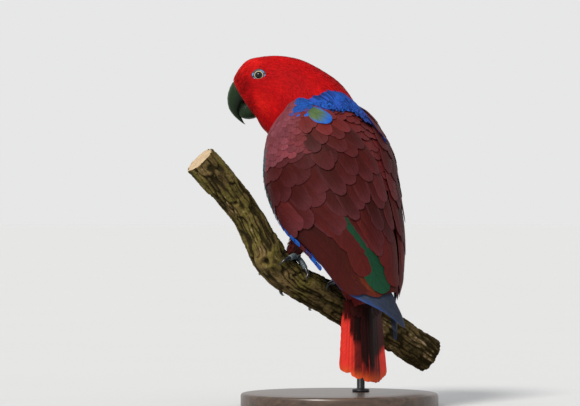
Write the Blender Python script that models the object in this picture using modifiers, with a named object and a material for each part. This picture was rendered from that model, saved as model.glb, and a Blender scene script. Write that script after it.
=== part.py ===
"""A life-size still model of a female eclectus parrot, gripping a cut length of branch on a display stand.

Blender 4.5, metres, +Z up. The origin is the centre of the base's underside. The branch runs along X, from its
high end at -X to its low end at +X. The bird's back faces -Y and +X, and its head is turned towards -X.

Shapes are worked out in millimetres from the tables and sizes below, and made metres as each mesh is built.
An angle round the body is 0 at the back, 90 at the bird's left and 180 at the belly.
"""

import math

import bmesh
import bpy
import numpy as np
from mathutils import Matrix, Vector

MM = 0.001
GAP = 0.3
SIDES = {"left": 1.0, "right": -1.0}
SEED = 11

# The stand and the branch
BASE_RADIUS = 100.0
BASE_THICKNESS = 14.0
BASE_EDGE = 2.5
BASE_SIDES = 56
ROD_RADIUS = 4.0
ROD_SIDES = 16
ROD_X = 22.0
BRANCH_SLOPE = 0.42
BRANCH_MIDDLE_X = -24.0
# x, z and radius along the branch's middle, from its high end to its low end
BRANCH = [
    (-140, 249, 16.4),
    (-126, 234, 16.2),
    (-112, 218, 16.0),
    (-97, 199, 14.8),
    (-84, 177, 15.3),
    (-75, 158, 17.6),
    (-62, 141, 17.3),
    (-43, 126, 16.5),
    (-20, 114, 17.0),
    (2, 102, 17.6),
    (26, 88, 18.2),
    (54, 74, 18.6),
    (76, 60, 17.8),
    (94, 49, 17.6),
]
BRANCH_SIDES, BRANCH_RINGS = 16, 24
# How far apart the table's rows are along the branch, about
BRANCH_STEP = 20.0

# The trunk's straight axis: a point on it, and which way it leans
TRUNK = np.array([-3.0, -20.0, 204.0])
TRUNK_YAW = 46.0
TRUNK_PITCH = 70.0
HEAD_YAW = 78.0

# Along the head and neck: x, y, z of the middle, yaw, pitch, half width, and reach to the back and to the front
NECK = [
    (-96.0, 10.5, 312.0, 78, -33, 13, 21, 21),
    (-86.5, 8.5, 316.5, 78, -14, 19, 33, 33),
    (-75.0, 6.0, 315.3, 78, -4, 22, 38, 38),
    (-62.5, 4.5, 312.0, 76, 6, 24, 42, 42),
    (-50.5, 3.0, 306.0, 72, 16, 27, 46, 46),
    (-38.5, 2.0, 297.5, 66, 26, 32, 48, 48),
    (-27.0, 0.5, 286.0, 58, 36, 39, 50, 50),
    (-20.0, -3.0, 270.0, 50, 52, 46, 50, 50),
]
# Down the trunk: height along its axis, half width, and reach to the back and to the front
RUMP = [
    (50, 52, 50, 50),
    (20, 56, 54, 56),
    (-10, 57, 55, 53),
    (-40, 49, 51, 36),
    (-70, 34, 43, 14),
    (-95, 24, 33, 6),
    (-110, 18, 28, 3),
]
HEAD_ROWS = np.linspace(0, 3.6, 12)
NECK_ROWS = np.linspace(3.6, 6.4, 8)
TORSO_ROWS = np.linspace(6.4, len(NECK) + len(RUMP) - 1, 15)
BODY_SIDES = 24

# Every 25 mm down the wing: the half width of its bed, its reach to the back and front, and how thick the arm is
WING_TOP, WING_STEP = 110.0, 25.0
WING = [
    (34, 31, 33, 2.0),
    (49, 45, 45, 7.0),
    (54, 52, 51, 9.5),
    (57, 56, 56, 10.5),
    (58, 57, 57, 7.0),
    (57, 56, 54, 5.0),
    (52, 53, 48, 4.5),
    (45, 48, 38, 4.0),
    (38, 42, 32, 2.5),
    (32, 38, 27, 1.0),
    (28, 35, 22, 1.0),
    (24, 32, 18, 1.0),
]
# At the same heights, the angles of each wing's leading and back edges. The left wing's tip crosses over the right's
EDGES = {
    "left": [
        (66, 50), (100, 32), (125, 18), (133, 8), (131, 0), (116, -4),
        (98, -7), (87, -16), (76, -18), (38, -22), (-4, -34), (-30, -44),
    ],
    "right": [
        (66, 50), (100, 32), (125, 21), (133, 16), (131, 13), (116, 12),
        (98, 14), (87, 21), (76, 20), (50, 18), (18, -4), (0, -14),
    ],
}
TUCK = {"left": -2.5, "right": 5.5}
TUCK_HEIGHTS = (-88.0, -116.0)
ARM_TOP, ARM_END = 100.0, -92.0
ARM_RINGS, ARM_STEPS = 13, 6
ARM_ROOT = 4.0
SHOULDER_ROOT = 14.0

# Tiers of wing feathers, from the lowest layer to the top one: how many, their share of the way from the leading
# edge to the back edge, the roots and tips as heights at both of these, the width, and the layer at root and tip
TIERS = {
    "primary": (6, (0.0, 0.6), (-5, -50), (-150, -112), 16, (1.0, 1.8)),
    "secondary": (8, (0.05, 1.0), (15, 5), (-74, -104), 22, (2.6, 4.6)),
    "greater_covert": (6, (0.02, 0.85), (45, 35), (-26, -20), 21, (4.2, 7.4)),
    "median_covert": (6, (0.02, 0.8), (66, 58), (4, 14), 19, (5.2, 9.4)),
    "lesser_covert": (6, (0.04, 0.8), (86, 80), (34, 44), 18, (5.6, 10.4)),
    "long_scapular": (4, (0.68, 1.0), (60, 64), (-40, -62), 19, (4.6, 7.2)),
    "scapular": (4, (0.7, 1.0), (88, 92), (8, -10), 18, (6.0, 9.6)),
}
VANE_STATIONS = (0.0, 0.45, 0.82, 1.0)
VANE_WIDTHS = (0.6, 1.0, 0.86, 0.22)
VANE_THICKNESS = 0.8
VANE_CROWN = 0.5

# The tail: its middle at the top and bottom, its feathers' spread at both, how much it falls to each side, and
# how much shorter its outer and its left feathers are
TAIL_TOP = np.array([25.0, -48.0, 112.0])
TAIL_END = np.array([26.5, -48.0, 27.0])
TAIL_SUNK = np.array([18.0, -40.0, 128.0])
TAIL_FEATHERS = 12
TAIL_SPREADS = (21.5, 25.5)
TAIL_SLOPE = 0.22
TAIL_CURVE, TAIL_SLANT = 8.0, 4.0
TAIL_VANE = 16.0
# Down the tail's root: share of the way, half width, reach to the back and to the front
TAIL_ROOT = [(0.0, 22, 13, 12), (0.18, 26, 9, 9), (0.36, 26, 4, 6), (0.5, 20, 1.0, 2.5)]
# Down the web under its feathers: share of the way, half width and thickness
TAIL_WEB = [(0.1, 26, 6.0), (0.5, 28, 3.0), (0.84, 28, 1.2)]
# The tail's coverts, above and below: how many, their spread at root and tip, where they begin and end, their
# width, and how far off the feathers they lie
TAIL_COVERTS = [
    (4, (16, 19), 8, 46, 17, 4.5),
    (4, (15, 19), 8, 54, 17, -7.5),
]

# The bill, in the head's middle plane: forward of and above its base, the ridge, the cutting edge, half width
BILL_BASE = np.array([-96.0, 10.5, 312.0])
UPPER_BILL = [
    ((5.0, 18.5), (-5.0, -2.5), 10.5),
    ((11.5, 17.0), (0.0, -5.0), 10.6),
    ((15.8, 9.0), (2.6, -9.0), 9.8),
    ((17.6, 0.0), (4.2, -12.5), 8.4),
    ((16.2, -9.5), (4.6, -15.5), 6.4),
    ((11.8, -16.5), (4.0, -18.2), 4.2),
    ((6.5, -21.6), (2.4, -21.2), 2.4),
    ((2.0, -25.0), (0.7, -24.4), 1.1),
    ((-0.4, -26.4), (-0.8, -26.2), 0.4),
]
LOWER_BILL = [
    ((-17.0, -15.0), (-7.0, -1.0), 9.6),
    ((-11.0, -19.6), (0.0, -3.5), 9.8),
    ((-6.0, -20.9), (4.0, -8.0), 9.2),
    ((-2.0, -20.9), (5.6, -12.6), 7.8),
    ((1.0, -20.2), (5.4, -16.4), 5.4),
    ((3.2, -19.2), (4.8, -18.2), 2.0),
]
BILL_SIDES = 12

EYE_X, EYE_Z = -79.0, 335.0
EYE_RADIUS = 6.4
EYE_OUT = 14.6
EYE_SEGMENTS, EYE_RINGS = 14, 8
LID_RADIUS, LID_THICKNESS = 5.9, 1.1
LID_STEPS, LID_SIDES = 16, 5

# Each leg: the branch station under it, the ankle and the hip
LEGS = {
    "left": (6.35, (-46.5, -14.5, 158.0), (-32.0, -25.0, 178.0)),
    "right": (8.55, (2.5, 6.0, 131.0), (16.0, -10.0, 156.0)),
}
THIGH_GIRTHS, THIGH_SIDES = [7.5, 10.0, 12.0, 13.0, 13.0], 14
FOOT_GIRTHS, FOOT_SIDES = [5.2, 4.6, 4.2, 4.2, 4.2], 10
FOOT_LIFT = 4.0
# Toes: turn round the branch at the toe's end and the claw's tip, spread along the branch, and radius
TOES = {
    "inner_front": (102, 152, -9.0, 3.3),
    "outer_front": (116, 166, 8.0, 3.5),
    "inner_back": (-46, -80, 10.0, 3.0),
    "outer_back": (-60, -98, -10.0, 3.3),
}
TOE_TAPER, TOE_RINGS = (1.08, 0.82), 6
TOE_SUNK = 4.0
TOE_TURN_RADIUS = 20.0
SPREAD_LIMIT = 1.3
# Down a claw, in toe radii: its radius and its clearance
CLAW_GIRTHS = np.array([0.62, 0.6, 0.44, 0.27, 0.09])
CLAW_OVER = np.array([0.85, 0.85, 0.95, 0.75, 0.35])

COLOURS = {
    "head": ((0.60, 0.01, 0.015), 0.6),
    "neck": ((0.56, 0.01, 0.015), 0.6),
    "torso": ((0.20, 0.03, 0.05), 0.6),
    "wing": ((0.19, 0.03, 0.035), 0.55),
    "tail": ((0.55, 0.05, 0.03), 0.55),
    "bill": ((0.012, 0.03, 0.016), 0.3),
    "eye": ((0.02, 0.018, 0.015), 0.08),
    "eyelid": ((0.12, 0.17, 0.28), 0.5),
    "thigh": ((0.18, 0.03, 0.05), 0.6),
    "foot": ((0.16, 0.20, 0.21), 0.55),
    "claw": ((0.02, 0.022, 0.022), 0.35),
    "perch": ((0.17, 0.12, 0.07), 0.85),
    "stand": ((0.05, 0.04, 0.035), 0.5),
}


def smooth_rows(rows, t):
    """A table's values at the fractional row t, on a smooth curve through its rows."""
    rows = np.asarray(rows, float)
    t = np.clip(np.asarray(t, float), 0, len(rows) - 1)
    i = np.minimum(t.astype(int), len(rows) - 2)
    f = (t - i)[..., None]
    here, after = rows[i], rows[i + 1]
    slope = (after - rows[np.maximum(i - 1, 0)]) / 2
    next_slope = (rows[np.minimum(i + 2, len(rows) - 1)] - here) / 2
    return (
        here * (1 + 2 * f) * (1 - f) ** 2
        + slope * f * (1 - f) ** 2
        + after * f * f * (3 - 2 * f)
        + next_slope * f * f * (f - 1)
    )


def axes(yaw, pitch):
    """The bird's left, back and headward directions where it heads along yaw and is pitched up by pitch."""
    yaw, pitch = np.radians(yaw), np.radians(pitch)
    zero = np.zeros_like(yaw)
    forward = np.stack([-np.sin(yaw), np.cos(yaw), zero], -1)
    left = np.stack([-np.cos(yaw), -np.sin(yaw), zero], -1)
    up = np.array([0.0, 0.0, 1.0])
    sin, cos = np.sin(pitch)[..., None], np.cos(pitch)[..., None]
    return left, cos * up - sin * forward, cos * forward + sin * up


LEFT, BACK, ALONG = axes(np.array(TRUNK_YAW), np.array(TRUNK_PITCH))


def body_rows():
    """The whole body's table, from the bill's base to the rump."""
    rows = list(NECK)
    for height, half, back, front in RUMP:
        middle = TRUNK + ALONG * height
        rows.append((*middle, TRUNK_YAW, TRUNK_PITCH, half, back, front))
    return rows


BODY = body_rows()


def oval(middle, left, back, half, to_back, to_front, angle, grow=0.0):
    """Points of an oval cross-section whose back and front reach differ."""
    sin, cos = np.sin(angle), np.cos(angle)
    reach = np.where(cos > 0, to_back, to_front) + grow
    return middle + left * ((half + grow) * sin)[..., None] + back * (reach * cos)[..., None]


def body_point(t, angle, grow=0.0):
    """A point of the body's surface at the fractional row t of its table and an angle in radians."""
    t, angle = np.broadcast_arrays(np.asarray(t, float), np.asarray(angle, float))
    row = smooth_rows(BODY, t)
    left, back, _ = axes(row[..., 3], row[..., 4])
    return oval(row[..., :3], left, back, row[..., 5], row[..., 6], row[..., 7], angle, grow)


def turns(sides):
    return np.arange(sides) * 2 * math.pi / sides


def body_rings(stations, grow=0.0, before=0.0, after=0.0):
    """Rings of the body at these rows of its table. The end ones are moved apart by before and after."""
    rings = [body_point(t, turns(BODY_SIDES), grow) for t in stations]
    for i, shift in ((0, before), (-1, -after)):
        row = smooth_rows(BODY, stations[i])
        rings[i] = rings[i] + axes(row[3], row[4])[2] * shift
    return rings


def material(kind):
    """The plain material of one kind of sub-part."""
    found = bpy.data.materials.get(kind)
    if found:
        return found
    colour, roughness = COLOURS[kind]
    made = bpy.data.materials.new(kind)
    made.use_nodes = True
    shader = made.node_tree.nodes["Principled BSDF"]
    shader.inputs["Base Color"].default_value = (*colour, 1.0)
    shader.inputs["Roughness"].default_value = roughness
    return made


def add_object(name, mesh, kind, collection):
    made = bpy.data.objects.new(name, mesh)
    made.data.materials.append(material(kind))
    collection.objects.link(made)
    if collection.hide_render:
        made.display_type = "WIRE"
    return made


def loft(name, rings, kind, collection):
    """A closed solid through rings of points in millimetres, with a flat cap at each end."""
    mesh = bmesh.new()
    made = [[mesh.verts.new(point * MM) for point in ring] for ring in rings]
    sides = len(made[0])
    for ring, after in zip(made, made[1:]):
        for i in range(sides):
            j = (i + 1) % sides
            mesh.faces.new((ring[i], ring[j], after[j], after[i]))
    mesh.faces.new(made[0][::-1])
    mesh.faces.new(made[-1])
    bmesh.ops.triangulate(mesh, faces=mesh.faces)
    bmesh.ops.recalc_face_normals(mesh, faces=mesh.faces)
    if mesh.calc_volume(signed=True) < 0:
        bmesh.ops.reverse_faces(mesh, faces=mesh.faces)
    data = bpy.data.meshes.new(name)
    mesh.to_mesh(data)
    mesh.free()
    data.shade_smooth()
    data.set_sharp_from_angle(angle=math.radians(50))
    return add_object(name, data, kind, collection)


def largest_body(mesh):
    """Drops every closed surface of the mesh but the largest, such as a void between feathers."""
    left, bodies = set(mesh.faces), []
    while left:
        queue, body = [left.pop()], []
        while queue:
            face = queue.pop()
            body.append(face)
            for edge in face.edges:
                for other in edge.link_faces if len(edge.link_faces) == 2 else ():
                    if other in left:
                        left.remove(other)
                        queue.append(other)
        bodies.append(body)

    def area(body):
        return sum(face.calc_area() for face in body)

    bodies.sort(key=area)
    for body in bodies[:-1]:
        bmesh.ops.delete(mesh, geom=body, context="FACES")


def combine(target, *steps, solver="EXACT"):
    """Joins other objects to the target, or cuts them from it, one step after another, and removes them."""
    holders = []
    for operation, others in steps:
        holder = bpy.data.collections.new("pieces")
        for other in others:
            holder.objects.link(other)
        modifier = target.modifiers.new(operation.lower(), "BOOLEAN")
        modifier.operation = operation
        modifier.solver = solver
        modifier.operand_type = "COLLECTION"
        modifier.collection = holder
        holders.append(holder)
    bpy.context.view_layer.update()
    graph = bpy.context.evaluated_depsgraph_get()
    joined = bpy.data.meshes.new_from_object(target.evaluated_get(graph))
    target.modifiers.clear()
    old, target.data = target.data, joined
    bpy.data.meshes.remove(old)
    for holder in holders:
        for other in list(holder.objects):
            bpy.data.objects.remove(other)
        bpy.data.collections.remove(holder)
    mesh = bmesh.new()
    mesh.from_mesh(joined)
    largest_body(mesh)
    bmesh.ops.triangulate(mesh, faces=mesh.faces)
    mesh.to_mesh(joined)
    mesh.free()
    joined.shade_smooth()
    joined.set_sharp_from_angle(angle=math.radians(40))
    return target


def body_cutter(helpers):
    """The whole body, larger by the gap, to cut from what meets it."""
    stations = np.concatenate([HEAD_ROWS, NECK_ROWS[1:], TORSO_ROWS[1:]])
    return loft("body_cutter", body_rings(stations, GAP, GAP, GAP), "torso", helpers)


def make_body(parts):
    """The head, neck and torso: one form parted by two thin cuts."""
    half = GAP / 2
    loft("neck", body_rings(NECK_ROWS, 0.0, -half, -half), "neck", parts)
    loft("torso", body_rings(TORSO_ROWS, 0.0, -half, 0.0), "torso", parts)
    return loft("head", body_rings(HEAD_ROWS, 0.0, 0.0, -half), "head", parts)


def ball(name, middle, radius, kind, collection):
    mesh = bmesh.new()
    bmesh.ops.create_uvsphere(
        mesh, u_segments=EYE_SEGMENTS, v_segments=EYE_RINGS, radius=radius * MM
    )
    bmesh.ops.translate(mesh, verts=mesh.verts, vec=middle * MM)
    data = bpy.data.meshes.new(name)
    mesh.to_mesh(data)
    mesh.free()
    data.shade_smooth()
    return add_object(name, data, kind, collection)


def adopt(name, kind, collection):
    """Names the primitive just made, gives it a material and moves it to the collection."""
    made = bpy.context.object
    made.name = name
    for holder in list(made.users_collection):
        holder.objects.unlink(made)
    collection.objects.link(made)
    made.data.materials.append(material(kind))
    return made


def lid_ring(name, middle, axis, thickness, kind, collection):
    """The ring of a lid, about an axis through its middle."""
    turn = Vector(axis).to_track_quat("Z", "Y").to_matrix().to_4x4()
    bpy.ops.mesh.primitive_torus_add(
        major_segments=LID_STEPS,
        minor_segments=LID_SIDES,
        major_radius=LID_RADIUS * MM,
        minor_radius=thickness * MM,
    )
    made = adopt(name, kind, collection)
    made.data.transform(Matrix.Translation(Vector(middle) * MM) @ turn)
    made.data.shade_smooth()
    return made


def make_eyes(parts, helpers, head):
    """Two eyes in sockets, each with a raised lid round it."""
    left, _, _ = axes(np.array(HEAD_YAW), np.array(0.0))
    middle_y = smooth_rows(NECK, np.array(1.6))[1]
    for name, side in SIDES.items():
        axis = left * side
        middle = np.array([EYE_X, middle_y, EYE_Z]) + axis * EYE_OUT
        rim = math.sqrt(EYE_RADIUS**2 - LID_RADIUS**2) + LID_THICKNESS * 1.2
        lid_middle = middle + axis * rim
        ball(f"eye_{name}", middle, EYE_RADIUS, "eye", parts)
        lid = lid_ring(f"eyelid_{name}", lid_middle, axis, LID_THICKNESS, "eyelid", parts)
        socket = ball("socket", middle, EYE_RADIUS + GAP, "eye", helpers)
        combine(lid, ("DIFFERENCE", [socket]))
        socket = ball("socket", middle, EYE_RADIUS + GAP, "eye", helpers)
        rim_cutter = lid_ring("rim_cutter", lid_middle, axis, LID_THICKNESS + GAP, "eye", helpers)
        combine(head, ("DIFFERENCE", [socket, rim_cutter]))


def bill_rings(sections, grow=0.0):
    """Rings of a bill half, each an oval between its two profile points."""
    left, _, forward = axes(np.array(HEAD_YAW), np.array(0.0))
    up = np.array([0.0, 0.0, 1.0])
    rings = []
    for ridge, edge, half in sections:
        top = BILL_BASE + forward * ridge[0] + up * ridge[1]
        low = BILL_BASE + forward * edge[0] + up * edge[1]
        reach = (top - low) / 2
        long = np.linalg.norm(reach)
        out = reach / long
        middle = (top + low) / 2
        angle = turns(BILL_SIDES)
        bulge = np.cos(angle) * (long + grow)
        wide = np.sin(angle) * (half + grow)
        rings.append(middle + out * bulge[:, None] + left * wide[:, None])
    return rings


def make_bill(parts, helpers):
    """The hooked upper half, and the lower half that closes against it."""
    upper = loft("bill_upper", bill_rings(UPPER_BILL), "bill", parts)
    combine(upper, ("DIFFERENCE", [body_cutter(helpers)]))
    lower = loft("bill_lower", bill_rings(LOWER_BILL), "bill", parts)
    above = loft("upper_cutter", bill_rings(UPPER_BILL, GAP), "bill", helpers)
    combine(lower, ("DIFFERENCE", [body_cutter(helpers), above]))


def down_wing(rows, height):
    return smooth_rows(rows, (WING_TOP - np.asarray(height, float)) / WING_STEP)


def wing_point(side, height, angle, over):
    """A point over a wing's bed, at a height along the trunk, an angle in degrees and a clearance."""
    height, angle, over = np.broadcast_arrays(
        *(np.asarray(v, float) for v in (height, angle, over))
    )
    row = down_wing(WING, height)
    middle = TRUNK + ALONG * height[..., None]
    start, end = TUCK_HEIGHTS
    way = np.clip((height - start) / (end - start), 0, 1)
    over = over - TUCK[side] * way * way * (3 - 2 * way)
    turn = np.radians(angle) * SIDES[side]
    return oval(middle, LEFT, BACK, row[..., 0], row[..., 1], row[..., 2], turn, over)


def wing_angle(side, height, share, width=0.0):
    """The angle at a share of the way from the leading edge to the back edge, for a feather of this width."""
    edges = down_wing(EDGES[side], height)
    spread = edges[..., 0] - edges[..., 1]
    taken = np.degrees(width / (down_wing(WING, height)[..., 0] + 6.0))
    taken = np.minimum(taken, spread)
    return edges[..., 0] - taken / 2 - (spread - taken) * share


def make_arm(side, parts):
    """The folded arm and hand, as one pad with rounded edges that the feathers grow from."""
    rings = []
    share = np.linspace(0, 1, ARM_STEPS + 1)
    for height in np.linspace(ARM_TOP, ARM_END, ARM_RINGS):
        thick = down_wing(WING, height)[3]
        angle = wing_angle(side, height, share)
        crown = thick * (0.3 + 0.7 * np.sqrt(np.sin(math.pi * (0.08 + 0.84 * share))))
        sunk = ARM_ROOT + SHOULDER_ROOT * min(max((height - 45) / 40, 0), 1)
        deep = -sunk * (0.5 + 0.5 * np.sin(math.pi * share))
        outer = wing_point(side, height, angle, crown)
        inner = wing_point(side, height, angle, deep)[::-1]
        rings.append(np.concatenate([outer, inner]))
    return loft(f"wing_{side}", rings, "wing", parts)


def vane_rings(place, width):
    """Rings of a thin vane. place(s, across, over) gives a point at a share of its length, an offset across it
    and a clearance over its own lie."""
    rings = []
    top, low = VANE_THICKNESS / 2, -VANE_THICKNESS / 2
    for s, wide in zip(VANE_STATIONS, VANE_WIDTHS):
        half = width / 2 * wide
        crown = VANE_CROWN * wide
        section = (
            (-half, top),
            (0.0, top + crown),
            (half, top),
            (half, low),
            (-half, low),
        )
        rings.append(np.array([place(s, across, over) for across, over in section]))
    return rings


def wing_vane(side, share, root, tip, width, layers, helpers):
    """One wing feather, from its root to its tip, at heights along the trunk."""

    def place(s, across, over):
        height = root + (tip - root) * s
        angle = wing_angle(side, height, share, width)
        ahead = wing_angle(side, height + 1.0, share, width)
        radius = down_wing(WING, height)[0] + 6.0
        lean = math.radians(ahead - angle) * radius
        length = math.hypot(1.0, lean)
        height_at = height + across * lean / length
        angle_at = angle - math.degrees(across / length / radius)
        layer = layers[0] + (layers[1] - layers[0]) * s
        return wing_point(side, height_at, angle_at, layer + over)

    return loft("vane", vane_rings(place, width), "wing", helpers)


def make_wing(side, parts, helpers, rng):
    """One folded wing: the arm, with each tier of feathers set on it and lying over the next."""
    wing = make_arm(side, parts)
    vanes = []
    for count, shares, roots, tips, width, layers in TIERS.values():
        for i in range(count):
            way = i / (count - 1)
            share = shares[0] + (shares[1] - shares[0]) * way + rng.uniform(-0.015, 0.015)
            root = roots[0] + (roots[1] - roots[0]) * way
            tip = tips[0] + (tips[1] - tips[0]) * way + rng.uniform(-2.5, 2.5)
            step = 0.35 * (i % 3) + rng.uniform(0, 0.2)
            layer = (layers[0] + step * 0.4, layers[1] + step)
            wide = width * rng.uniform(0.95, 1.05)
            vanes.append(wing_vane(side, share, root, tip, wide, layer, helpers))
    combine(wing, ("UNION", vanes), ("DIFFERENCE", [body_cutter(helpers)]), solver="MANIFOLD")
    return wing


def tail_axes():
    """The tail's directions down, to the bird's left and to its back."""
    down = TAIL_END - TAIL_TOP
    down = down / np.linalg.norm(down)
    back = BACK - down * (BACK @ down)
    back /= np.linalg.norm(back)
    return down, np.cross(down, back), back


def make_tail(parts, helpers):
    """The root of the tail, its coverts above and below, and its feathers laid out like a low roof."""
    down, left, back = tail_axes()
    span = np.linalg.norm(TAIL_END - TAIL_TOP)
    root = [oval(TAIL_SUNK, left, back, 16, 8, 8, turns(16))]
    for t in np.linspace(0, len(TAIL_ROOT) - 1, 8):
        share, *reach = smooth_rows(TAIL_ROOT, t)
        root.append(oval(TAIL_TOP + down * (span * share), left, back, *reach, turns(16)))
    tail = loft("tail", root, "tail", parts)

    def lie(out):
        return 2.5 - TAIL_SLOPE * np.abs(out)

    web = []
    for t in np.linspace(0, len(TAIL_WEB) - 1, 6):
        share, half, thick = smooth_rows(TAIL_WEB, t)
        out = np.linspace(-half, half, 7)
        top = TAIL_TOP + down * (span * share) + left * out[:, None] + back * lie(out)[:, None]
        web.append(np.concatenate([top, (top - back * thick)[::-1]]))
    pieces = [loft("web", web, "tail", helpers)]

    def vane(share, spreads, begin, end, width, layer):
        def place(s, across, over):
            middle = share * (spreads[0] + (spreads[1] - spreads[0]) * s)
            height = over + layer + lie(middle) - TAIL_SLOPE * np.sign(share) * across * 0.5
            return TAIL_TOP + down * (begin + (end - begin) * s) + left * (middle + across) + back * height

        return loft("vane", vane_rings(place, width), "tail", helpers)

    for i in range(TAIL_FEATHERS):
        share = 1 - 2 * i / (TAIL_FEATHERS - 1)
        end = span - TAIL_CURVE * share * share - TAIL_SLANT * share
        pieces.append(vane(share, TAIL_SPREADS, 2, end, TAIL_VANE, 0.3))
    for count, spreads, begin, end, width, layer in TAIL_COVERTS:
        for i in range(count):
            share = 1 - 2 * i / (count - 1)
            pieces.append(vane(share, spreads, begin, end - 5.0 * abs(share), width, layer))
    combine(tail, ("UNION", pieces), ("DIFFERENCE", [body_cutter(helpers)]), solver="MANIFOLD")


def branch_frame(t):
    """The branch's middle, its direction, its upper side, its far side and its radius at the fractional row t."""
    t = np.asarray(t, float)
    here, ahead = smooth_rows(BRANCH, t), smooth_rows(BRANCH, t + 0.05)
    behind = smooth_rows(BRANCH, t - 0.05)

    def place(row):
        depth = (row[..., 0] - BRANCH_MIDDLE_X) * BRANCH_SLOPE
        return np.stack([row[..., 0], depth, row[..., 1]], -1)

    along = place(ahead) - place(behind)
    along /= np.linalg.norm(along, axis=-1, keepdims=True)
    up = np.array([0.0, 0.0, 1.0]) - along * along[..., 2:3]
    up /= np.linalg.norm(up, axis=-1, keepdims=True)
    far = np.cross(up, along)
    far *= np.sign(far[..., 1:2])
    return place(here), along, up, far, here[..., 2]


def branch_point(t, turn, over):
    """A point over the branch's bark, at an angle in radians from its upper side towards its far side."""
    middle, _, up, far, radius = branch_frame(t)
    out = up * np.cos(turn)[..., None] + far * np.sin(turn)[..., None]
    return middle + out * (radius + over)[..., None]


def branch_loft(name, grow, collection):
    """The cut length of branch, grown by a gap where it is to cut what rests on it."""
    rings = []
    for t in np.linspace(0, len(BRANCH) - 1, BRANCH_RINGS):
        rings.append(branch_point(np.full(BRANCH_SIDES, t), turns(BRANCH_SIDES), np.array(grow)))
    return loft(name, rings, "perch", collection)


def tube(name, points, radii, kind, collection, sides=7):
    """A tapering tube along points in millimetres."""
    points = np.asarray(points, float)
    tangents = np.gradient(points, axis=0)
    tangents /= np.linalg.norm(tangents, axis=1, keepdims=True)
    side = np.cross(tangents[0], [0.3, 0.2, 1.0])
    rings = []
    for point, tangent, radius in zip(points, tangents, radii):
        side = side - tangent * (side @ tangent)
        side /= np.linalg.norm(side)
        other = np.cross(tangent, side)
        angle = turns(sides)
        out = side * np.cos(angle)[:, None] + other * np.sin(angle)[:, None]
        rings.append(point + out * radius)
    return loft(name, rings, kind, collection)


def toe_path(station, begin, end, spread, spread_by, over):
    """Points of a toe or claw round the branch, from one turn in degrees to another, at these clearances. It
    moves along the branch by spread in the turns up to spread_by."""
    turn = np.radians(np.linspace(begin, end, len(over)))
    share = np.clip(turn / np.radians(spread_by), 0, SPREAD_LIMIT)
    return branch_point(station + spread * share / BRANCH_STEP, turn, over)


def make_leg(name, parts, helpers):
    """A feathered thigh, and a foot whose four toes grip the branch, two in front and two behind."""
    station, ankle, hip = (np.array(v) for v in LEGS[name])
    side = SIDES[name]
    top = branch_point(station, np.array(0.0), np.array(GAP + FOOT_LIFT))
    shank = [ankle + (hip - ankle) * s for s in np.linspace(0, 1, len(THIGH_GIRTHS))]
    thigh = tube(f"thigh_{name}", shank, THIGH_GIRTHS, "thigh", parts, THIGH_SIDES)
    combine(thigh, ("DIFFERENCE", [body_cutter(helpers)]))
    path = [top + (ankle - top) * s for s in np.linspace(-0.05, 1.3, len(FOOT_GIRTHS))]
    foot = tube(f"foot_{name}", path, FOOT_GIRTHS, "foot", parts, FOOT_SIDES)
    pieces = []
    for toe, (end, tip, spread, radius) in TOES.items():
        sign = 1 if end > 0 else -1
        begin = -TOE_SUNK * sign
        girth = radius * np.linspace(*TOE_TAPER, TOE_RINGS)
        points = toe_path(station, begin, end, spread * side, end, girth + GAP)
        pieces.append(tube("toe", points, girth, "foot", helpers))
        points = toe_path(station, end + begin, tip, spread * side, end, CLAW_OVER * radius + GAP)
        claw = tube(f"claw_{name}_{toe}", points, CLAW_GIRTHS * radius, "claw", parts)
        past = end + sign * math.degrees(GAP / TOE_TURN_RADIUS)
        points = toe_path(station, begin, past, spread * side, end, girth + GAP)
        combine(claw, ("DIFFERENCE", [tube("toe_cutter", points, girth + GAP, "foot", helpers)]))
    grown = [girth + GAP for girth in THIGH_GIRTHS]
    below = -GAP / np.linalg.norm(hip - ankle)
    grown_shank = [ankle + (hip - ankle) * s for s in np.linspace(below, 1, len(grown))]
    cutters = [
        tube("shank_cutter", grown_shank, grown, "thigh", helpers, THIGH_SIDES),
        branch_loft("branch_cutter", GAP, helpers),
    ]
    combine(foot, ("UNION", pieces), ("DIFFERENCE", cutters))


def make_stand(parts, helpers):
    """A round base, and a short rod from it up to the underside of the branch."""
    bpy.ops.mesh.primitive_cylinder_add(
        vertices=BASE_SIDES,
        radius=BASE_RADIUS * MM,
        depth=BASE_THICKNESS * MM,
        location=(0, 0, BASE_THICKNESS / 2 * MM),
    )
    base = adopt("stand_base", "stand", parts)
    bevel = base.modifiers.new("edge", "BEVEL")
    bevel.width = BASE_EDGE * MM
    bevel.segments = 2
    bevel.limit_method = "ANGLE"
    depth = (ROD_X - BRANCH_MIDDLE_X) * BRANCH_SLOPE
    rows = np.array(BRANCH)
    t = np.interp(ROD_X, rows[:, 0], np.arange(len(rows)))
    foot, top = BASE_THICKNESS + GAP, branch_frame(np.array(t))[0][2]
    bpy.ops.mesh.primitive_cylinder_add(
        vertices=ROD_SIDES,
        radius=ROD_RADIUS * MM,
        depth=(top - foot) * MM,
        location=(ROD_X * MM, depth * MM, (foot + top) / 2 * MM),
    )
    rod = adopt("stand_rod", "stand", parts)
    combine(rod, ("DIFFERENCE", [branch_loft("branch_cutter", GAP, helpers)]))


def new_collection(name):
    made = bpy.data.collections.new(name)
    bpy.context.scene.collection.children.link(made)
    return made


def main():
    for old in list(bpy.data.objects):
        bpy.data.objects.remove(old)
    parts = new_collection("eclectus_parrot")
    helpers = new_collection("cutters")
    helpers.hide_render = True
    rng = np.random.default_rng(SEED)
    head = make_body(parts)
    make_eyes(parts, helpers, head)
    make_bill(parts, helpers)
    for side in SIDES:
        make_wing(side, parts, helpers, rng)
        make_leg(side, parts, helpers)
    make_tail(parts, helpers)
    branch_loft("perch_branch", 0.0, parts)
    make_stand(parts, helpers)


main()
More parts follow.
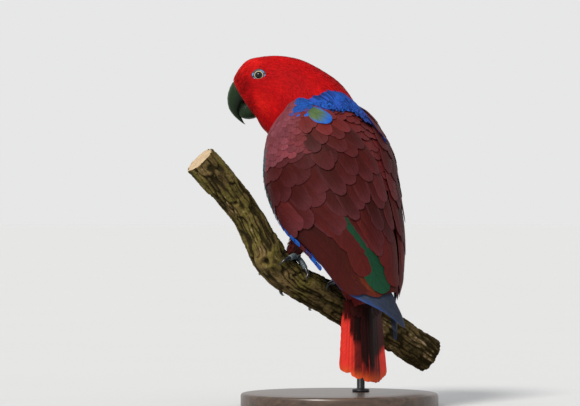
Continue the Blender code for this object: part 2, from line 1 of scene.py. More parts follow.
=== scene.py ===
"""Looks of the eclectus parrot: skin, feathers, bill, eyes, feet, bark, stand, light, floor and camera.

Shapes are worked out in millimetres, from the same tables as the solids, and made metres as each mesh is
built. An angle round the body is 0 at the back, 90 at the bird's left and 180 at the belly.
"""

import math

import bpy
import numpy as np
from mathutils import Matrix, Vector, kdtree


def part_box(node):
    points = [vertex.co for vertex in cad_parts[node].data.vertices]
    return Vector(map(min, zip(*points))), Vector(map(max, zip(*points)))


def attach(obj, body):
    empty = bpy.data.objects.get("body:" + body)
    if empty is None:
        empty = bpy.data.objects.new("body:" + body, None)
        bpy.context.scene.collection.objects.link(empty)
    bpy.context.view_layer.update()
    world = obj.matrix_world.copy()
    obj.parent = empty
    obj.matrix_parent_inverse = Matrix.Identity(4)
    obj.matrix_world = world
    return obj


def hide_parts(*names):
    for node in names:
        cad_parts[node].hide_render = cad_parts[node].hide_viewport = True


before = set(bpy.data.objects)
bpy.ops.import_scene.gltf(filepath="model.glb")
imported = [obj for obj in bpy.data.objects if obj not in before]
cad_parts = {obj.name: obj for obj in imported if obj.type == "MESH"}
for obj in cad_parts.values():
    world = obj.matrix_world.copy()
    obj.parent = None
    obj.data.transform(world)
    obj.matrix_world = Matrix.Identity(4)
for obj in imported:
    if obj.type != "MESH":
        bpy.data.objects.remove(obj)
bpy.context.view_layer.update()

MM = 0.001
UP = np.array([0.0, 0.0, 1.0])
SIDES = {"left": 1.0, "right": -1.0}
SEED = 11

# Down the branch's middle: x, z and radius about every 20 mm. It slopes away in depth
BRANCH = [
    (-140, 249, 16.4), (-126, 234, 16.2), (-112, 218, 16.0), (-97, 199, 14.8), (-84, 177, 15.3),
    (-75, 158, 17.6), (-62, 141, 17.3), (-43, 126, 16.5), (-20, 114, 17.0), (2, 102, 17.6), (26, 88, 18.2),
    (54, 74, 18.6), (76, 60, 17.8), (94, 49, 17.6),
]
BRANCH_STEP = 20.0
BRANCH_SLOPE = 0.42
BRANCH_MIDDLE_X = -24.0

# The trunk's straight axis: a point on it, and which way it leans
TRUNK = np.array([-3.0, -20.0, 204.0])
TRUNK_YAW = 46.0
TRUNK_PITCH = 70.0
HEAD_YAW = 78.0

# Along the head and neck: x, y, z of the middle, yaw, pitch, half width, and reach to the back and front
NECK = [
    (-96.0, 10.5, 312.0, 78, -33, 13, 21, 21),
    (-86.5, 8.5, 316.5, 78, -14, 19, 33, 33),
    (-75.0, 6.0, 315.3, 78, -4, 22, 38, 38),
    (-62.5, 4.5, 312.0, 76, 6, 24, 42, 42),
    (-50.5, 3.0, 306.0, 72, 16, 27, 46, 46),
    (-38.5, 2.0, 297.5, 66, 26, 32, 48, 48),
    (-27.0, 0.5, 286.0, 58, 36, 39, 50, 50),
    (-20.0, -3.0, 270.0, 50, 52, 46, 50, 50),
]
# Down the trunk: height along its axis, half width, and reach to the back and front
RUMP = [
    (50, 52, 50, 50), (20, 56, 54, 56), (-10, 57, 55, 53), (-40, 49, 51, 36), (-70, 34, 43, 14),
    (-95, 24, 33, 6), (-110, 18, 28, 3),
]

# Every 25 mm down the wing: half width of its bed, reach to the back and front, and thickness of the arm
WING_TOP, WING_STEP = 110.0, 25.0
WING = [
    (34, 31, 33, 2.0), (49, 45, 45, 7.0), (54, 52, 51, 9.5), (57, 56, 56, 10.5), (58, 57, 57, 7.0),
    (57, 56, 54, 5.0), (52, 53, 48, 4.5), (45, 48, 38, 4.0), (38, 42, 32, 2.5), (32, 38, 27, 1.0),
    (28, 35, 22, 1.0), (24, 32, 18, 1.0),
]
# At the same heights, the angles of each wing's leading and back edges. The left tip crosses the right
EDGES = {
    "left": [
        (66, 50), (100, 32), (125, 18), (133, 8), (131, 0), (116, -4),
        (98, -7), (87, -16), (76, -18), (38, -22), (-4, -34), (-30, -44),
    ],
    "right": [
        (66, 50), (100, 32), (125, 21), (133, 16), (131, 13), (116, 12),
        (98, 14), (87, 21), (76, 20), (50, 18), (18, -4), (0, -14),
    ],
}
# How far each wing's tip is tucked in, and between which heights that starts
TUCK = {"left": -2.5, "right": 5.5}
TUCK_HEIGHTS = (-88.0, -116.0)
# Where the wing's arm begins and where its form under the skin ends
ARM_TOP, ARM_LOW = 100.0, -96.0
# About how far the middle of the wing's plumage lies over the wing's bed
PLUMAGE_DEPTH = 6.0

# The tail: its middle at the top and bottom, how much it falls to each side, and how much shorter its outer
# and its left feathers are
TAIL_TOP = np.array([25.0, -48.0, 112.0])
TAIL_END = np.array([26.5, -48.0, 27.0])
TAIL_SLOPE = 0.22
TAIL_CURVE, TAIL_SLANT = 8.0, 4.0

# The bill, in the head's middle plane: the ridge and the cutting edge, each forward of and above the bill's
# base, and the half width
BILL_BASE = np.array([-96.0, 10.5, 312.0])
UPPER_BILL = [
    (5.0, 18.5, -5.0, -2.5, 10.5),
    (11.5, 17.0, 0.0, -5.0, 10.6),
    (15.8, 9.0, 2.6, -9.0, 9.8),
    (17.6, 0.0, 4.2, -12.5, 8.4),
    (16.2, -9.5, 4.6, -15.5, 6.4),
    (11.8, -16.5, 4.0, -18.2, 4.2),
    (6.5, -21.6, 2.4, -21.2, 2.4),
    (2.0, -25.0, 0.7, -24.4, 1.1),
    (-0.4, -26.4, -0.8, -26.2, 0.4),
]
LOWER_BILL = [
    (-17.0, -15.0, -7.0, -1.0, 9.6),
    (-11.0, -19.6, 0.0, -3.5, 9.8),
    (-6.0, -20.9, 4.0, -8.0, 9.2),
    (-2.0, -20.9, 5.6, -12.6, 7.8),
    (1.0, -20.2, 5.4, -16.4, 5.4),
    (3.2, -19.2, 4.8, -18.2, 2.0),
]

# The eyes: their middle on the head's plane, how far out and back of it they sit, and their radius
EYE_X, EYE_Z = -79.0, 335.0
EYE_ROW = 1.6
EYE_OUT = 15.8
EYE_BACK = 1.8
EYE_RADIUS = 6.4

# Each leg: the branch station under it, the ankle and the hip
LEGS = {
    "left": (6.35, (-46.5, -14.5, 158.0), (-32.0, -25.0, 178.0)),
    "right": (8.55, (2.5, 6.0, 131.0), (16.0, -10.0, 156.0)),
}
# Down a thigh, from over the hip to past the ankle: shares of its length, and its radius there
THIGH_SHARES = [-0.5, 0.0, 0.5, 1.0, 1.25]
THIGH_RADII = [13.0, 13.0, 12.0, 8.0, 5.0]
# The radius of the shin over the foot and at the ankle
SHIN_RADII = (5.2, 4.0)
# How far the toes lie off the branch, and the top of the foot over them
GAP = 0.3
FOOT_LIFT = 4.0
# Toes: turn round the branch at the toe's end and the claw's tip, spread along the branch, and radius
TOES = {
    "inner_front": (102, 152, -9.0, 3.3),
    "outer_front": (116, 166, 8.0, 3.5),
    "inner_back": (-46, -80, 10.0, 3.0),
    "outer_back": (-60, -98, -10.0, 3.3),
}
# How many degrees of each toe and claw are sunk in what carries them, and how far on a toe keeps spreading
TOE_SUNK = 4.0
SPREAD_LIMIT = 1.3
TOE_SCUTES = 9.0
# Down a claw, in toe radii: its radius and its clearance
CLAW_GIRTHS = np.array([0.62, 0.6, 0.44, 0.27, 0.09])
CLAW_OVER = np.array([0.85, 0.85, 0.95, 0.75, 0.35])

# Colours of the plumage. The bright red is a painted highlight, and the dark colours of the vent and the tail
# are dark feathers with painted shade
RED, DEEP_RED, SUNLIT_RED, BLUE, VIOLET, MAROON, DARK, VENT_AND_SHADE = np.array([
    (0.56, 0.003, 0.004), (0.33, 0.001, 0.003), (0.90, 0.018, 0.012), (0.011, 0.095, 0.44),
    (0.05, 0.035, 0.34), (0.130, 0.012, 0.011), (0.046, 0.005, 0.003), (0.042, 0.005, 0.004),
])
TEAL, GREEN, SLATE, OLIVE, LILAC, TAIL_RED, TAIL_DARK_AND_SHADOW, ORANGE = np.array([
    (0.010, 0.105, 0.115), (0.006, 0.045, 0.020), (0.032, 0.040, 0.060), (0.075, 0.125, 0.045),
    (0.23, 0.062, 0.085), (0.95, 0.045, 0.032), (0.055, 0.006, 0.005), (0.85, 0.17, 0.02),
])
# Colours of the bill, near black with a painted green reflection, a painted sheen on its ridge, darker to its
# cutting edge and with a painted highlight at the gape; of the eye from its middle out, of the lid, and of
# the feet
BILL_BLACK_REFLECTING_GREEN, BILL_RIDGE_SHEEN, BILL_EDGE, BILL_GAPE_HIGHLIGHT = np.array([
    (0.010, 0.024, 0.008), (0.026, 0.052, 0.018), (0.006, 0.010, 0.006), (0.30, 0.31, 0.25),
])
PUPIL, IRIS_BROWN, IRIS_CREAM, EYE_RIM, LID_DARK, LID_PALE = np.array([
    (0.004, 0.003, 0.003), (0.10, 0.045, 0.015), (0.62, 0.52, 0.30), (0.01, 0.012, 0.018),
    (0.012, 0.018, 0.034), (0.14, 0.32, 0.66),
])
SCUTE, SCUTE_DARK, CLAW, STRAND = np.array([
    (0.145, 0.19, 0.20), (0.035, 0.05, 0.06), (0.016, 0.018, 0.018), (0.35, 0.33, 0.30),
])
# Colours of the bark, whose dark cracks also hold painted shade and whose tan also holds painted light, and
# of the sawn ends
CRACK_AND_SHADE, BROWN, TAN, MOSS, SAWN = np.array([
    (0.026, 0.018, 0.005), (0.17, 0.115, 0.042), (0.56, 0.39, 0.24), (0.135, 0.125, 0.016),
    (0.50, 0.36, 0.21),
])

# The plumage's zones by the angle from the back: the row where the hood ends, and where the blue ends
ZONE_ANGLES = np.array([-180, -115, -60, -28, -6, 15, 42, 67, 90, 115, 180])
HOOD_END = np.array([9.1, 8.5, 7.4, 7.1, 6.72, 6.45, 6.35, 5.85, 7.2, 8.5, 9.1])
BLUE_END = np.array([12.2, 12.2, 8.9, 8.0, 7.5, 7.15, 6.8, 6.65, 12.2, 12.2, 12.2])
# The rows where the belly turns to the dark feathers of the vent, whose colour also holds painted shade
VENT_ROWS = (12.1, 12.5)
# Steps along the body, and their weights, that soften the coat over the fold at the base of the throat
SOFTER = [(-0.7, 0.15), (-0.35, 0.22), (0.0, 0.26), (0.35, 0.22), (0.7, 0.15)]
# The rows over which that begins and ends, and the degrees from the back over which it begins
FOLD_ROWS, FOLD_END_ROWS, FOLD_DEGREES = (6.2, 6.8), (9.0, 8.4), (60, 100)
# How far the head's feathers stand out, and the rows over which that ends
PLUMP, PLUMP_ROWS = 1.3, (2.5, 5.0)
# How far the skin lies under the body's form: on the face, and how much more from the throat down
SKIN_DEPTH, SKIN_DEEPER = 1.0, 1.9
SKIN_CELL = 1.3
# Zones of the body's coat: rows from and to, the gap between roots, and how long and wide the feathers are
COAT_ZONES = [
    (0.02, 1.1, 0.82, 5.0, 1.2), (1.1, 1.9, 0.86, 6.5, 1.25), (1.9, 2.7, 0.92, 8.0, 1.3),
    (2.7, 3.5, 0.98, 10.0, 1.4), (3.5, 4.3, 1.05, 12.0, 1.5), (4.3, 5.2, 1.12, 13.0, 1.6),
    (5.2, 6.2, 1.25, 14.0, 1.9), (6.2, 7.0, 1.35, 14.0, 2.1), (7.0, 7.8, 1.6, 14.0, 2.6),
    (7.8, 8.7, 1.9, 14.0, 3.1), (8.7, 10.4, 2.4, 14.0, 4.0), (10.4, 13.3, 2.8, 13.0, 4.8),
]
# The row from which the back, this many degrees to each side, has no coat of its own under the wings
BACK_COVERED, BACK_DEGREES = 9.2, 62

# A small feather: where its rings are, how wide and bright it is there, darker at the root as painted shade
# under the feathers over it, how it domes and how it rises
SLIM_STATIONS = np.array([0.0, 0.45, 0.82])
SLIM_WIDTHS = np.array([0.55, 1.0, 0.76])
SLIM_SHADES, SLIM_TIP_SHADE = [0.9, 0.98, 1.01], 1.03
SLIM_CROWN = 0.035
SLIM_RISE = 0.85
# The side of a feather's patch in the baked picture
PATCH = 0.003
# A large feather: its columns from rim to rim, the share of its rows before the rounded tip, the height of
# its shaft and of the ripple along its barbs, and how far its rim is ragged
VANE_COLUMNS = np.array([-1.0, -0.86, -0.62, -0.3, -0.09, 0.0, 0.09, 0.3, 0.62, 0.86, 1.0])
SMALL_COLUMNS = np.array([-1.0, -0.7, -0.3, 0.0, 0.3, 0.7, 1.0])
NARROW_COLUMNS = np.array([-1.0, -0.6, 0.0, 0.6, 1.0])
VANE_TURN = 0.62
SHAFT_HEIGHT = 0.28
RIPPLE = 0.04
RAGGED = 0.05
# How much a large feather domes for its width, and how much it tilts under the one in front
CROWN = 0.014
TILT = 0.62
# The sharpest angle that is still shaded smooth on feathers
SMOOTH_DEGREES = 60

# Tiers of flight feathers, from the lowest to the top: how many, shares, roots, tips, width, how far off
# the arm the root and tip lie, rows of the mesh, how blunt the tip is, and how likely a split is
TIERS = {
    "primary": (9, (0.0, 0.66), (-5, -50), (-144, -112), 16, (-1.6, 0.2), 24, 2.2, 0.8),
    "secondary": (9, (0.02, 0.92), (8, -2), (-102, -111), 25, (-1.2, 2.0), 24, 1.1, 0.8),
    "tertial": (5, (0.5, 1.0), (22, 14), (-92, -104), 24, (-0.6, 3.4), 22, 1.2, 0.7),
}
# Where the tertials lie and end, from the front one back
TERTIAL_SHARES = [0.44, 0.56, 0.79, 0.9, 1.0]
TERTIAL_TIPS = [-88, -107, -73, -85, -103]
# How much longer each wing's front primaries are
LONGER = {"left": 0.0, "right": 11.0}
# Groups of wing feathers that lie in columns out of step with one another: the shares of the columns, where
# the first and the last column end, how high the tips go, the step between tips at both heights, how far
# off the arm the root and tip lie, how wide a feather is for the gap between columns, and how blunt and how
# raised at the edge
STREAMS = {
    "coverts": (np.linspace(0.0, 0.6, 6), (-28, -60), 46, (34, 17), (0.0, 2.4), 1.65, 0.0),
    "scapulars": (np.linspace(0.68, 1.03, 5), (-70, -62), 78, (34, 15), (0.6, 3.6), 1.5, 0.5),
}
# How far each column is out of step with the one before it, as a share of a step
STAGGER = 0.4
# The small coverts of the shoulder: the top row, the step between rows, and how many rows and columns
LESSER_TOP, LESSER_STEP, LESSER_ROWS, LESSER_COLUMNS = 108, 6.2, 9, 14
# The mantle: the heights of its rows' roots, and how long and wide its feathers are
MANTLE = [
    (104, 20, 10), (97, 22, 11), (90, 22, 11), (82, 24, 12), (74, 26, 13), (65, 28, 14), (55, 30, 14.5),
    (44, 32, 15), (32, 32, 15), (21, 30, 15),
]
# Along the blue band: its upper edge as a row and an angle of the body, and its lower edge as a height and
# an angle of the mantle
BAND_HIGH = np.array([
    (5.75, 66), (6.0, 51), (6.15, 39), (6.25, 28), (6.32, 18), (6.45, 5), (6.6, -8), (6.75, -22), (6.95, -33),
    (7.25, -38), (7.55, -40), (7.9, -41),
])
BAND_LOW = np.array([
    (98, 54), (95, 44), (92, 35), (86, 30), (82, 17), (82, 5), (80, -2), (73, -7), (67, -14), (61, -21),
    (54, -24), (45, -25),
], float)
# Where the tail feathers lie across it, from the bird's left
TAIL_SHARES = np.array([1.0, 0.9, 0.62, 0.5, 0.16, 0.04, -0.1, -0.3, -0.5, -0.68, -0.85, -1.0])

# Down the lid, from its inner edge out: radius, and height over the eye's middle
LID = [
    (4.45, 3.4), (4.4, 4.5), (4.55, 4.85), (4.8, 4.95), (5.05, 4.8), (5.2, 4.6), (5.4, 4.6), (5.65, 4.4),
    (5.85, 4.1), (6.2, 3.8), (6.6, 3.2), (7.0, 1.5), (5.0, 0.0),
]
# How deep the bark's long cracks and its small ones are, and how far over and under its form it may lie
CRACK_DEPTH, SMALL_CRACK_DEPTH = 1.9, 0.7
BARK_RANGE = (-2.2, 3.2)
# Knots of the branch: x and z of the middle, size and rise
KNOTS = [((-74, 148), 9.0, 3.0), ((-104, 206), 5.0, 1.2), ((44, 80), 6.0, 1.4)]
# The base and the rod with its collar: radius and height from the foot up
BASE_OUTLINE = [
    (98.4, 0.0), (99.6, 0.5), (100.0, 1.4), (100.0, 11.0), (99.6, 12.6), (98.6, 13.6), (97.2, 14.0),
    (60.0, 14.0), (20.0, 14.0), (1.0, 14.0),
]
ROD_OUTLINE = [(1.0, 14.05), (8.4, 14.05), (8.8, 14.5), (8.8, 16.2), (8.2, 17.0), (4.6, 17.4), (4.0, 17.8)]
ROD_RADIUS = 4.0
# How far the rod's top runs into the branch
ROD_SUNK = 2.0

# The camera, as the photograph has it: its place, and its focal length for a picture 580 mm wide at 3.5 m
CAMERA = (-0.050, -3.540, 0.206)
SENSOR = 36.0
LENS = SENSOR * 3.5 / 0.580


def smooth_rows(rows, t):
    """A table's values at the fractional row t, on a smooth curve through its rows."""
    rows = np.asarray(rows, float)
    t = np.clip(np.asarray(t, float), 0, len(rows) - 1)
    i = np.minimum(t.astype(int), len(rows) - 2)
    f = (t - i)[..., None]
    here, after = rows[i], rows[i + 1]
    slope = (after - rows[np.maximum(i - 1, 0)]) / 2
    next_slope = (rows[np.minimum(i + 2, len(rows) - 1)] - here) / 2
    return (
        here * (1 + 2 * f) * (1 - f) ** 2
        + slope * f * (1 - f) ** 2
        + after * f * f * (3 - 2 * f)
        + next_slope * f * f * (f - 1)
    )


def ease(x, low, high):
    """0 at low, 1 at high and beyond, and smooth between them."""
    x = np.clip((np.asarray(x, float) - low) / (high - low), 0, 1)
    return x * x * (3 - 2 * x)


def blend(first, second, share):
    share = np.asarray(share, float)[..., None]
    return np.asarray(first) * (1 - share) + np.asarray(second) * share


def unit(vectors):
    """Vectors made one long."""
    return vectors / np.linalg.norm(vectors, axis=-1, keepdims=True)


def facing(angle):
    """An angle round the body in degrees, from -180 to 180."""
    return (np.degrees(angle) + 180) % 360 - 180


def turns(sides):
    return np.arange(sides) * 2 * math.pi / sides


def axes(yaw, pitch):
    """The bird's left, back and headward directions where it heads along yaw and is pitched up by pitch."""
    yaw, pitch = np.radians(yaw), np.radians(pitch)
    zero = np.zeros_like(yaw)
    forward = np.stack([-np.sin(yaw), np.cos(yaw), zero], -1)
    left = np.stack([-np.cos(yaw), -np.sin(yaw), zero], -1)
    sin, cos = np.sin(pitch)[..., None], np.cos(pitch)[..., None]
    return left, cos * UP - sin * forward, cos * forward + sin * UP


LEFT, BACK, ALONG = axes(np.array(TRUNK_YAW), np.array(TRUNK_PITCH))
HEAD_LEFT, _, HEAD_FORWARD = axes(np.array(HEAD_YAW), np.array(0.0))
# The whole body's table, from the bill's base to the rump
BODY = NECK + [
    (*(TRUNK + ALONG * height), TRUNK_YAW, TRUNK_PITCH, half, back, front)
    for height, half, back, front in RUMP
]


def oval(middle, left, back, half, to_back, to_front, angle, grow=0.0):
    """Points of an oval cross-section whose back and front reach differ."""
    sin, cos = np.sin(angle), np.cos(angle)
    reach = np.where(cos > 0, to_back, to_front) + grow
    return middle + left * ((half + grow) * sin)[..., None] + back * (reach * cos)[..., None]


def body_point(t, angle, grow=0.0):
    """A point of the body's surface at the fractional row t of its table and an angle in radians."""
    t, angle = np.broadcast_arrays(np.asarray(t, float), np.asarray(angle, float))
    row = smooth_rows(BODY, t)
    left, back, _ = axes(row[..., 3], row[..., 4])
    return oval(row[..., :3], left, back, row[..., 5], row[..., 6], row[..., 7], angle, grow)


def plump(t):
    """How far the head's feathers stand out over the head's form."""
    return PLUMP * (1 - ease(t, *PLUMP_ROWS))


def coat_point(t, angle, over):
    """A point over the body's coat."""
    t, angle, over = np.broadcast_arrays(np.asarray(t, float), np.asarray(angle, float), over + plump(t))
    soft = ease(t, *FOLD_ROWS) * ease(t, *FOLD_END_ROWS) * ease(np.abs(facing(angle)), *FOLD_DEGREES)
    even = sum(weight * body_point(t + step, angle, over) for step, weight in SOFTER)
    return blend(body_point(t, angle, over), even, soft)


def down_wing(rows, height):
    return smooth_rows(rows, (WING_TOP - np.asarray(height, float)) / WING_STEP)


def wing_radius(height):
    """About how far the wing's plumage lies from the trunk's axis."""
    return down_wing(WING, height)[..., 0] + PLUMAGE_DEPTH


def wing_point(side, height, angle, over):
    """A point over a wing's bed, at a height along the trunk, an angle in degrees and a clearance."""
    height, angle, over = np.broadcast_arrays(*(np.asarray(v, float) for v in (height, angle, over)))
    row = down_wing(WING, height)
    middle = TRUNK + ALONG * height[..., None]
    over = over - TUCK[side] * ease(height, *TUCK_HEIGHTS)
    turn = np.radians(angle) * SIDES[side]
    return oval(middle, LEFT, BACK, row[..., 0], row[..., 1], row[..., 2], turn, over)


def wing_angle(side, height, share, width=0.0):
    """The angle at a share of the way from the leading edge to the back edge, for a feather of this width."""
    edges = down_wing(EDGES[side], height)
    spread = edges[..., 0] - edges[..., 1]
    taken = np.minimum(np.degrees(width / wing_radius(height)), spread)
    return edges[..., 0] - taken / 2 - (spread - taken) * share


def arm_height(side, height, angle):
    """How far the folded arm stands over the wing's bed."""
    edges = down_wing(EDGES[side], height)
    share = np.clip((edges[..., 0] - angle) / (edges[..., 0] - edges[..., 1]), -0.06, 1.06)
    thick = np.maximum(down_wing(WING, height)[..., 3], 0.8)
    return thick * (0.3 + 0.7 * np.sqrt(np.clip(np.sin(math.pi * (0.08 + 0.84 * share)), 0.0, 1)))


def mantle_point(height, angle, over):
    """A point over both folded wings and the back between them, at an angle towards the left."""
    arm = np.maximum(arm_height("left", height, angle), arm_height("right", height, -angle))
    return wing_point("left", height, angle, arm + over)


def tail_axes():
    """The tail's directions down, to the bird's left and to its back."""
    down = unit(TAIL_END - TAIL_TOP)
    back = unit(BACK - down * (BACK @ down))
    return down, np.cross(down, back), back


def branch_frame(t):
    """The branch's middle, direction, upper side, far side and radius at the fractional row t."""
    t = np.asarray(t, float)
    here, ahead, behind = (smooth_rows(BRANCH, t + step) for step in (0.0, 0.05, -0.05))

    def place(row):
        depth = (row[..., 0] - BRANCH_MIDDLE_X) * BRANCH_SLOPE
        return np.stack([row[..., 0], depth, row[..., 1]], -1)

    along = unit(place(ahead) - place(behind))
    up = unit(UP - along * along[..., 2:3])
    far = np.cross(up, along)
    far *= np.sign(far[..., 1:2])
    return place(here), along, up, far, here[..., 2]


def branch_point(t, turn, over):
    """A point over the branch's bark, at an angle in radians from its upper side towards its far side."""
    middle, _, up, far, radius = branch_frame(t)
    out = up * np.cos(turn)[..., None] + far * np.sin(turn)[..., None]
    return middle + out * (radius + over)[..., None]


def toe_path(station, begin, end, spread, spread_by, over):
    """Points of a toe or claw round the branch, from one turn in degrees to another, at these clearances.

    The toe moves along the branch by spread in the turns up to spread_by.
    """
    turn = np.radians(np.linspace(begin, end, len(over)))
    share = np.clip(turn / np.radians(spread_by), 0, SPREAD_LIMIT)
    return branch_point(station + spread * share / BRANCH_STEP, turn, over)


def eye_middle(side):
    y = smooth_rows(NECK, np.array(EYE_ROW))[1]
    return np.array([EYE_X, y, EYE_Z]) + HEAD_LEFT * (EYE_OUT * side) - HEAD_FORWARD * EYE_BACK


def noise(points, size, seed=0):
    """Smooth noise from -1 to 1 at points, with lumps of about this size."""
    p = np.asarray(points, float) / size + seed * 17.31
    cell = np.floor(p).astype(np.int64)
    f = p - cell
    f = f * f * (3 - 2 * f)
    total = np.zeros(p.shape[:-1])
    for corner in range(8):
        step = np.array([corner & 1, corner >> 1 & 1, corner >> 2 & 1])
        at = (cell + step) & 0xFFFF
        mixed = at[..., 0] * 73856093 ^ at[..., 1] * 19349663 ^ at[..., 2] * 83492791 ^ seed * 2654435
        mixed = (mixed ^ mixed >> 13) * 1274126177 & 0x7FFFFFFF
        mixed = (mixed ^ mixed >> 16) & 0xFFFFF
        weight = np.prod(np.where(step, f, 1 - f), axis=-1)
        total += weight * (mixed / 0x7FFFF - 1)
    return total


def link(name, data):
    """A new object in the scene."""
    made = bpy.data.objects.new(name, data)
    bpy.context.scene.collection.objects.link(made)
    return made


def build(name, verts, quads, tris, skin, tint=None, vane=None, uv=None):
    """A mesh piece from arrays, in millimetres, with a colour and a place on its feather at each vertex."""
    mesh = bpy.data.meshes.new(name)
    groups = [g.astype(np.int32) for g in (quads, tris) if g is not None]
    loops = np.concatenate([g.ravel() for g in groups])
    sizes = np.concatenate([np.full(len(g), g.shape[1], np.int32) for g in groups])
    starts = np.concatenate([[0], np.cumsum(sizes)[:-1]]).astype(np.int32)
    mesh.vertices.add(len(verts))
    mesh.vertices.foreach_set("co", (verts * MM).astype(np.float32).ravel())
    mesh.loops.add(len(loops))
    mesh.loops.foreach_set("vertex_index", loops)
    mesh.polygons.add(len(sizes))
    mesh.polygons.foreach_set("loop_start", starts)
    mesh.polygons.foreach_set("use_smooth", np.ones(len(sizes), bool))
    mesh.update(calc_edges=True)
    if tint is not None:
        colour = np.concatenate([tint, np.ones((len(tint), 1))], 1).astype(np.float32)
        mesh.attributes.new("tint", "FLOAT_COLOR", "POINT").data.foreach_set("color", colour.ravel())
    if vane is not None:
        mesh.set_sharp_from_angle(angle=math.radians(SMOOTH_DEGREES))
        places = mesh.attributes.new("vane", "FLOAT_VECTOR", "POINT")
        places.data.foreach_set("vector", vane.astype(np.float32).ravel())
    if uv is not None:
        layer = mesh.uv_layers.new(name="OFBake")
        layer.data.foreach_set("uv", uv.astype(np.float32)[loops].ravel())
    piece = link(name, mesh)
    mesh.materials.append(skin)
    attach(piece, "root")
    return piece


def column(values):
    """One value for each feather, ready for its rows and columns."""
    return np.asarray(values, float)[:, None, None]


def columns_of(count, *values):
    """Each of some values for this many feathers, ready for their rows and columns."""
    return [column(np.broadcast_to(v, count)) for v in values]


def flat(values):
    return values.reshape(-1, values.shape[-1])


def repeat(faces, count, step):
    """The faces of one form, for each of the like forms that follow one another."""
    return flat(faces[None] + (np.arange(count) * step)[:, None, None])


def ring_quads(rows, sides, start=0):
    """The numbers of rings' vertices, the same moved on by one side, and the quads between the rings."""
    grid = start + np.arange(rows * sides).reshape(rows, sides)
    after = np.roll(grid, -1, axis=1)
    return grid, after, flat(np.stack([grid[:-1], after[:-1], after[1:], grid[1:]], -1))


def tree_of(points):
    """A tree that finds the nearest of these points."""
    tree = kdtree.KDTree(len(points))
    for i, point in enumerate(points):
        tree.insert(point, i)
    tree.balance()
    return tree


def pace(surface, u, v):
    """Millimetres on a surface for one step of u and of v."""
    e = 0.01
    along = np.linalg.norm(surface(u + e, v, 0.0) - surface(u - e, v, 0.0), axis=-1) / (2 * e)
    round_ = np.linalg.norm(surface(u, v + e, 0.0) - surface(u, v - e, 0.0), axis=-1) / (2 * e)
    return np.maximum(along, 1e-3), np.maximum(round_, 1e-3)


def scatter(surface, us, vs, gap, rng, keep=None):
    """Roots spread evenly over a stretch of a surface, no two nearer than the gap."""
    cells, crowding = 140, 3.2
    u = np.linspace(*us, cells + 1)
    v = np.linspace(*vs, cells + 1)
    mid_u, mid_v = np.meshgrid((u[1:] + u[:-1]) / 2, (v[1:] + v[:-1]) / 2, indexing="ij")
    along, round_ = pace(surface, mid_u, mid_v)
    area = along * round_ * (u[1] - u[0]) * (v[1] - v[0])
    count = int(area.sum() / gap**2 * crowding)
    chosen = rng.choice(area.size, count, p=(area / area.sum()).ravel())
    u0 = mid_u.ravel()[chosen] + rng.uniform(-0.5, 0.5, count) * (u[1] - u[0])
    v0 = mid_v.ravel()[chosen] + rng.uniform(-0.5, 0.5, count) * (v[1] - v[0])
    if keep is not None:
        kept = keep(u0, v0)
        u0, v0 = u0[kept], v0[kept]
    points = surface(u0, v0, 0.0)
    tree = tree_of(points)
    alive = np.ones(len(points), bool)
    for i, point in enumerate(points):
        if alive[i]:
            for _, j, _ in tree.find_range(point, gap):
                if j != i:
                    alive[j] = False
    return u0[alive], v0[alive]


def slim_faces():
    """Quads and triangles of a small feather: rings of four vertices and one at the tip."""
    rings = len(SLIM_STATIONS)
    tip = 4 * rings
    quads = [
        (4 * k + j, 4 * k + (j + 1) % 4, 4 * k + 4 + (j + 1) % 4, 4 * k + 4 + j)
        for k in range(rings - 1)
        for j in range(4)
    ]
    tris = [(tip - 4 + j, tip - 4 + (j + 1) % 4, tip) for j in range(4)]
    return np.array(quads), np.array([*tris, (0, 3, 2), (0, 2, 1)])


def coat(name, surface, u, v, length, width, heading, deep, high, tint, skin, rng, place):
    """Small body feathers as slim closed vanes. They root below the surface and their tips lie over it.

    place holds where each feather's patch lies in the baked picture.
    """
    n, rings = len(u), len(SLIM_STATIONS)
    length, width, heading = (np.broadcast_to(w, n) for w in (length, width, heading))
    along, round_ = pace(surface, u, v)
    cos, sin = column(np.cos(heading)), column(np.sin(heading))
    s = np.append(SLIM_STATIONS, 1.0)[None, :, None]
    wide = np.append(SLIM_WIDTHS, 0.0)[None, :, None]
    across = column(width) / 2 * wide * np.array([-1.0, 0.0, 1.0, 0.0])
    down = column(length) * s + 0 * across
    crown = np.array([0.0, 1.0, 0.0, -0.45])
    over = column(deep) + column(high - deep) * s**SLIM_RISE + crown * column(width * SLIM_CROWN) * wide
    uu = column(u) + (down * cos - across * sin) / column(along)
    vv = column(v) + (down * sin + across * cos) / column(round_)
    points = surface(uu, vv, over)
    verts = np.concatenate([points[:, :rings].reshape(n, -1, 3), points[:, rings, :1]], 1)
    count = verts.shape[1]
    # Each small feather is darker at its root and a little lighter at its tip: painted shade where the
    # feathers over it cover the root.
    shade = np.append(np.repeat(SLIM_SHADES, 4), SLIM_TIP_SHADE)
    colour = tint[:, None, :] * shade[None, :, None]
    vane = np.zeros((n, count, 3))
    vane[:, :-1, 0] = across[:, :rings].reshape(n, -1)
    vane[:, :-1, 1] = down[:, :rings].reshape(n, -1)
    vane[:, -1, 1] = length
    vane[:, :, 2] = rng.uniform(0, 1, n)[:, None]
    size = np.maximum(np.stack([width, length], -1), 0.1)[:, None]
    uv = np.stack(place, -1)[:, None] + PATCH * (vane[..., :2] / size - [0.0, 0.5])
    quads, tris = slim_faces()
    quads, tris = repeat(quads, n, count), repeat(tris, n, count)
    return build(name, flat(verts), quads, tris, skin, flat(colour), flat(vane), flat(uv))


def unwrap(t, angle):
    """The root's place on an unwrap of the body, as if slit along the belly."""
    turned = (np.asarray(angle) + math.pi) % (2 * math.pi) / (2 * math.pi)
    return 0.01 + 0.98 * turned, 0.01 + 0.98 * np.clip(t / 14.0, 0, 1)


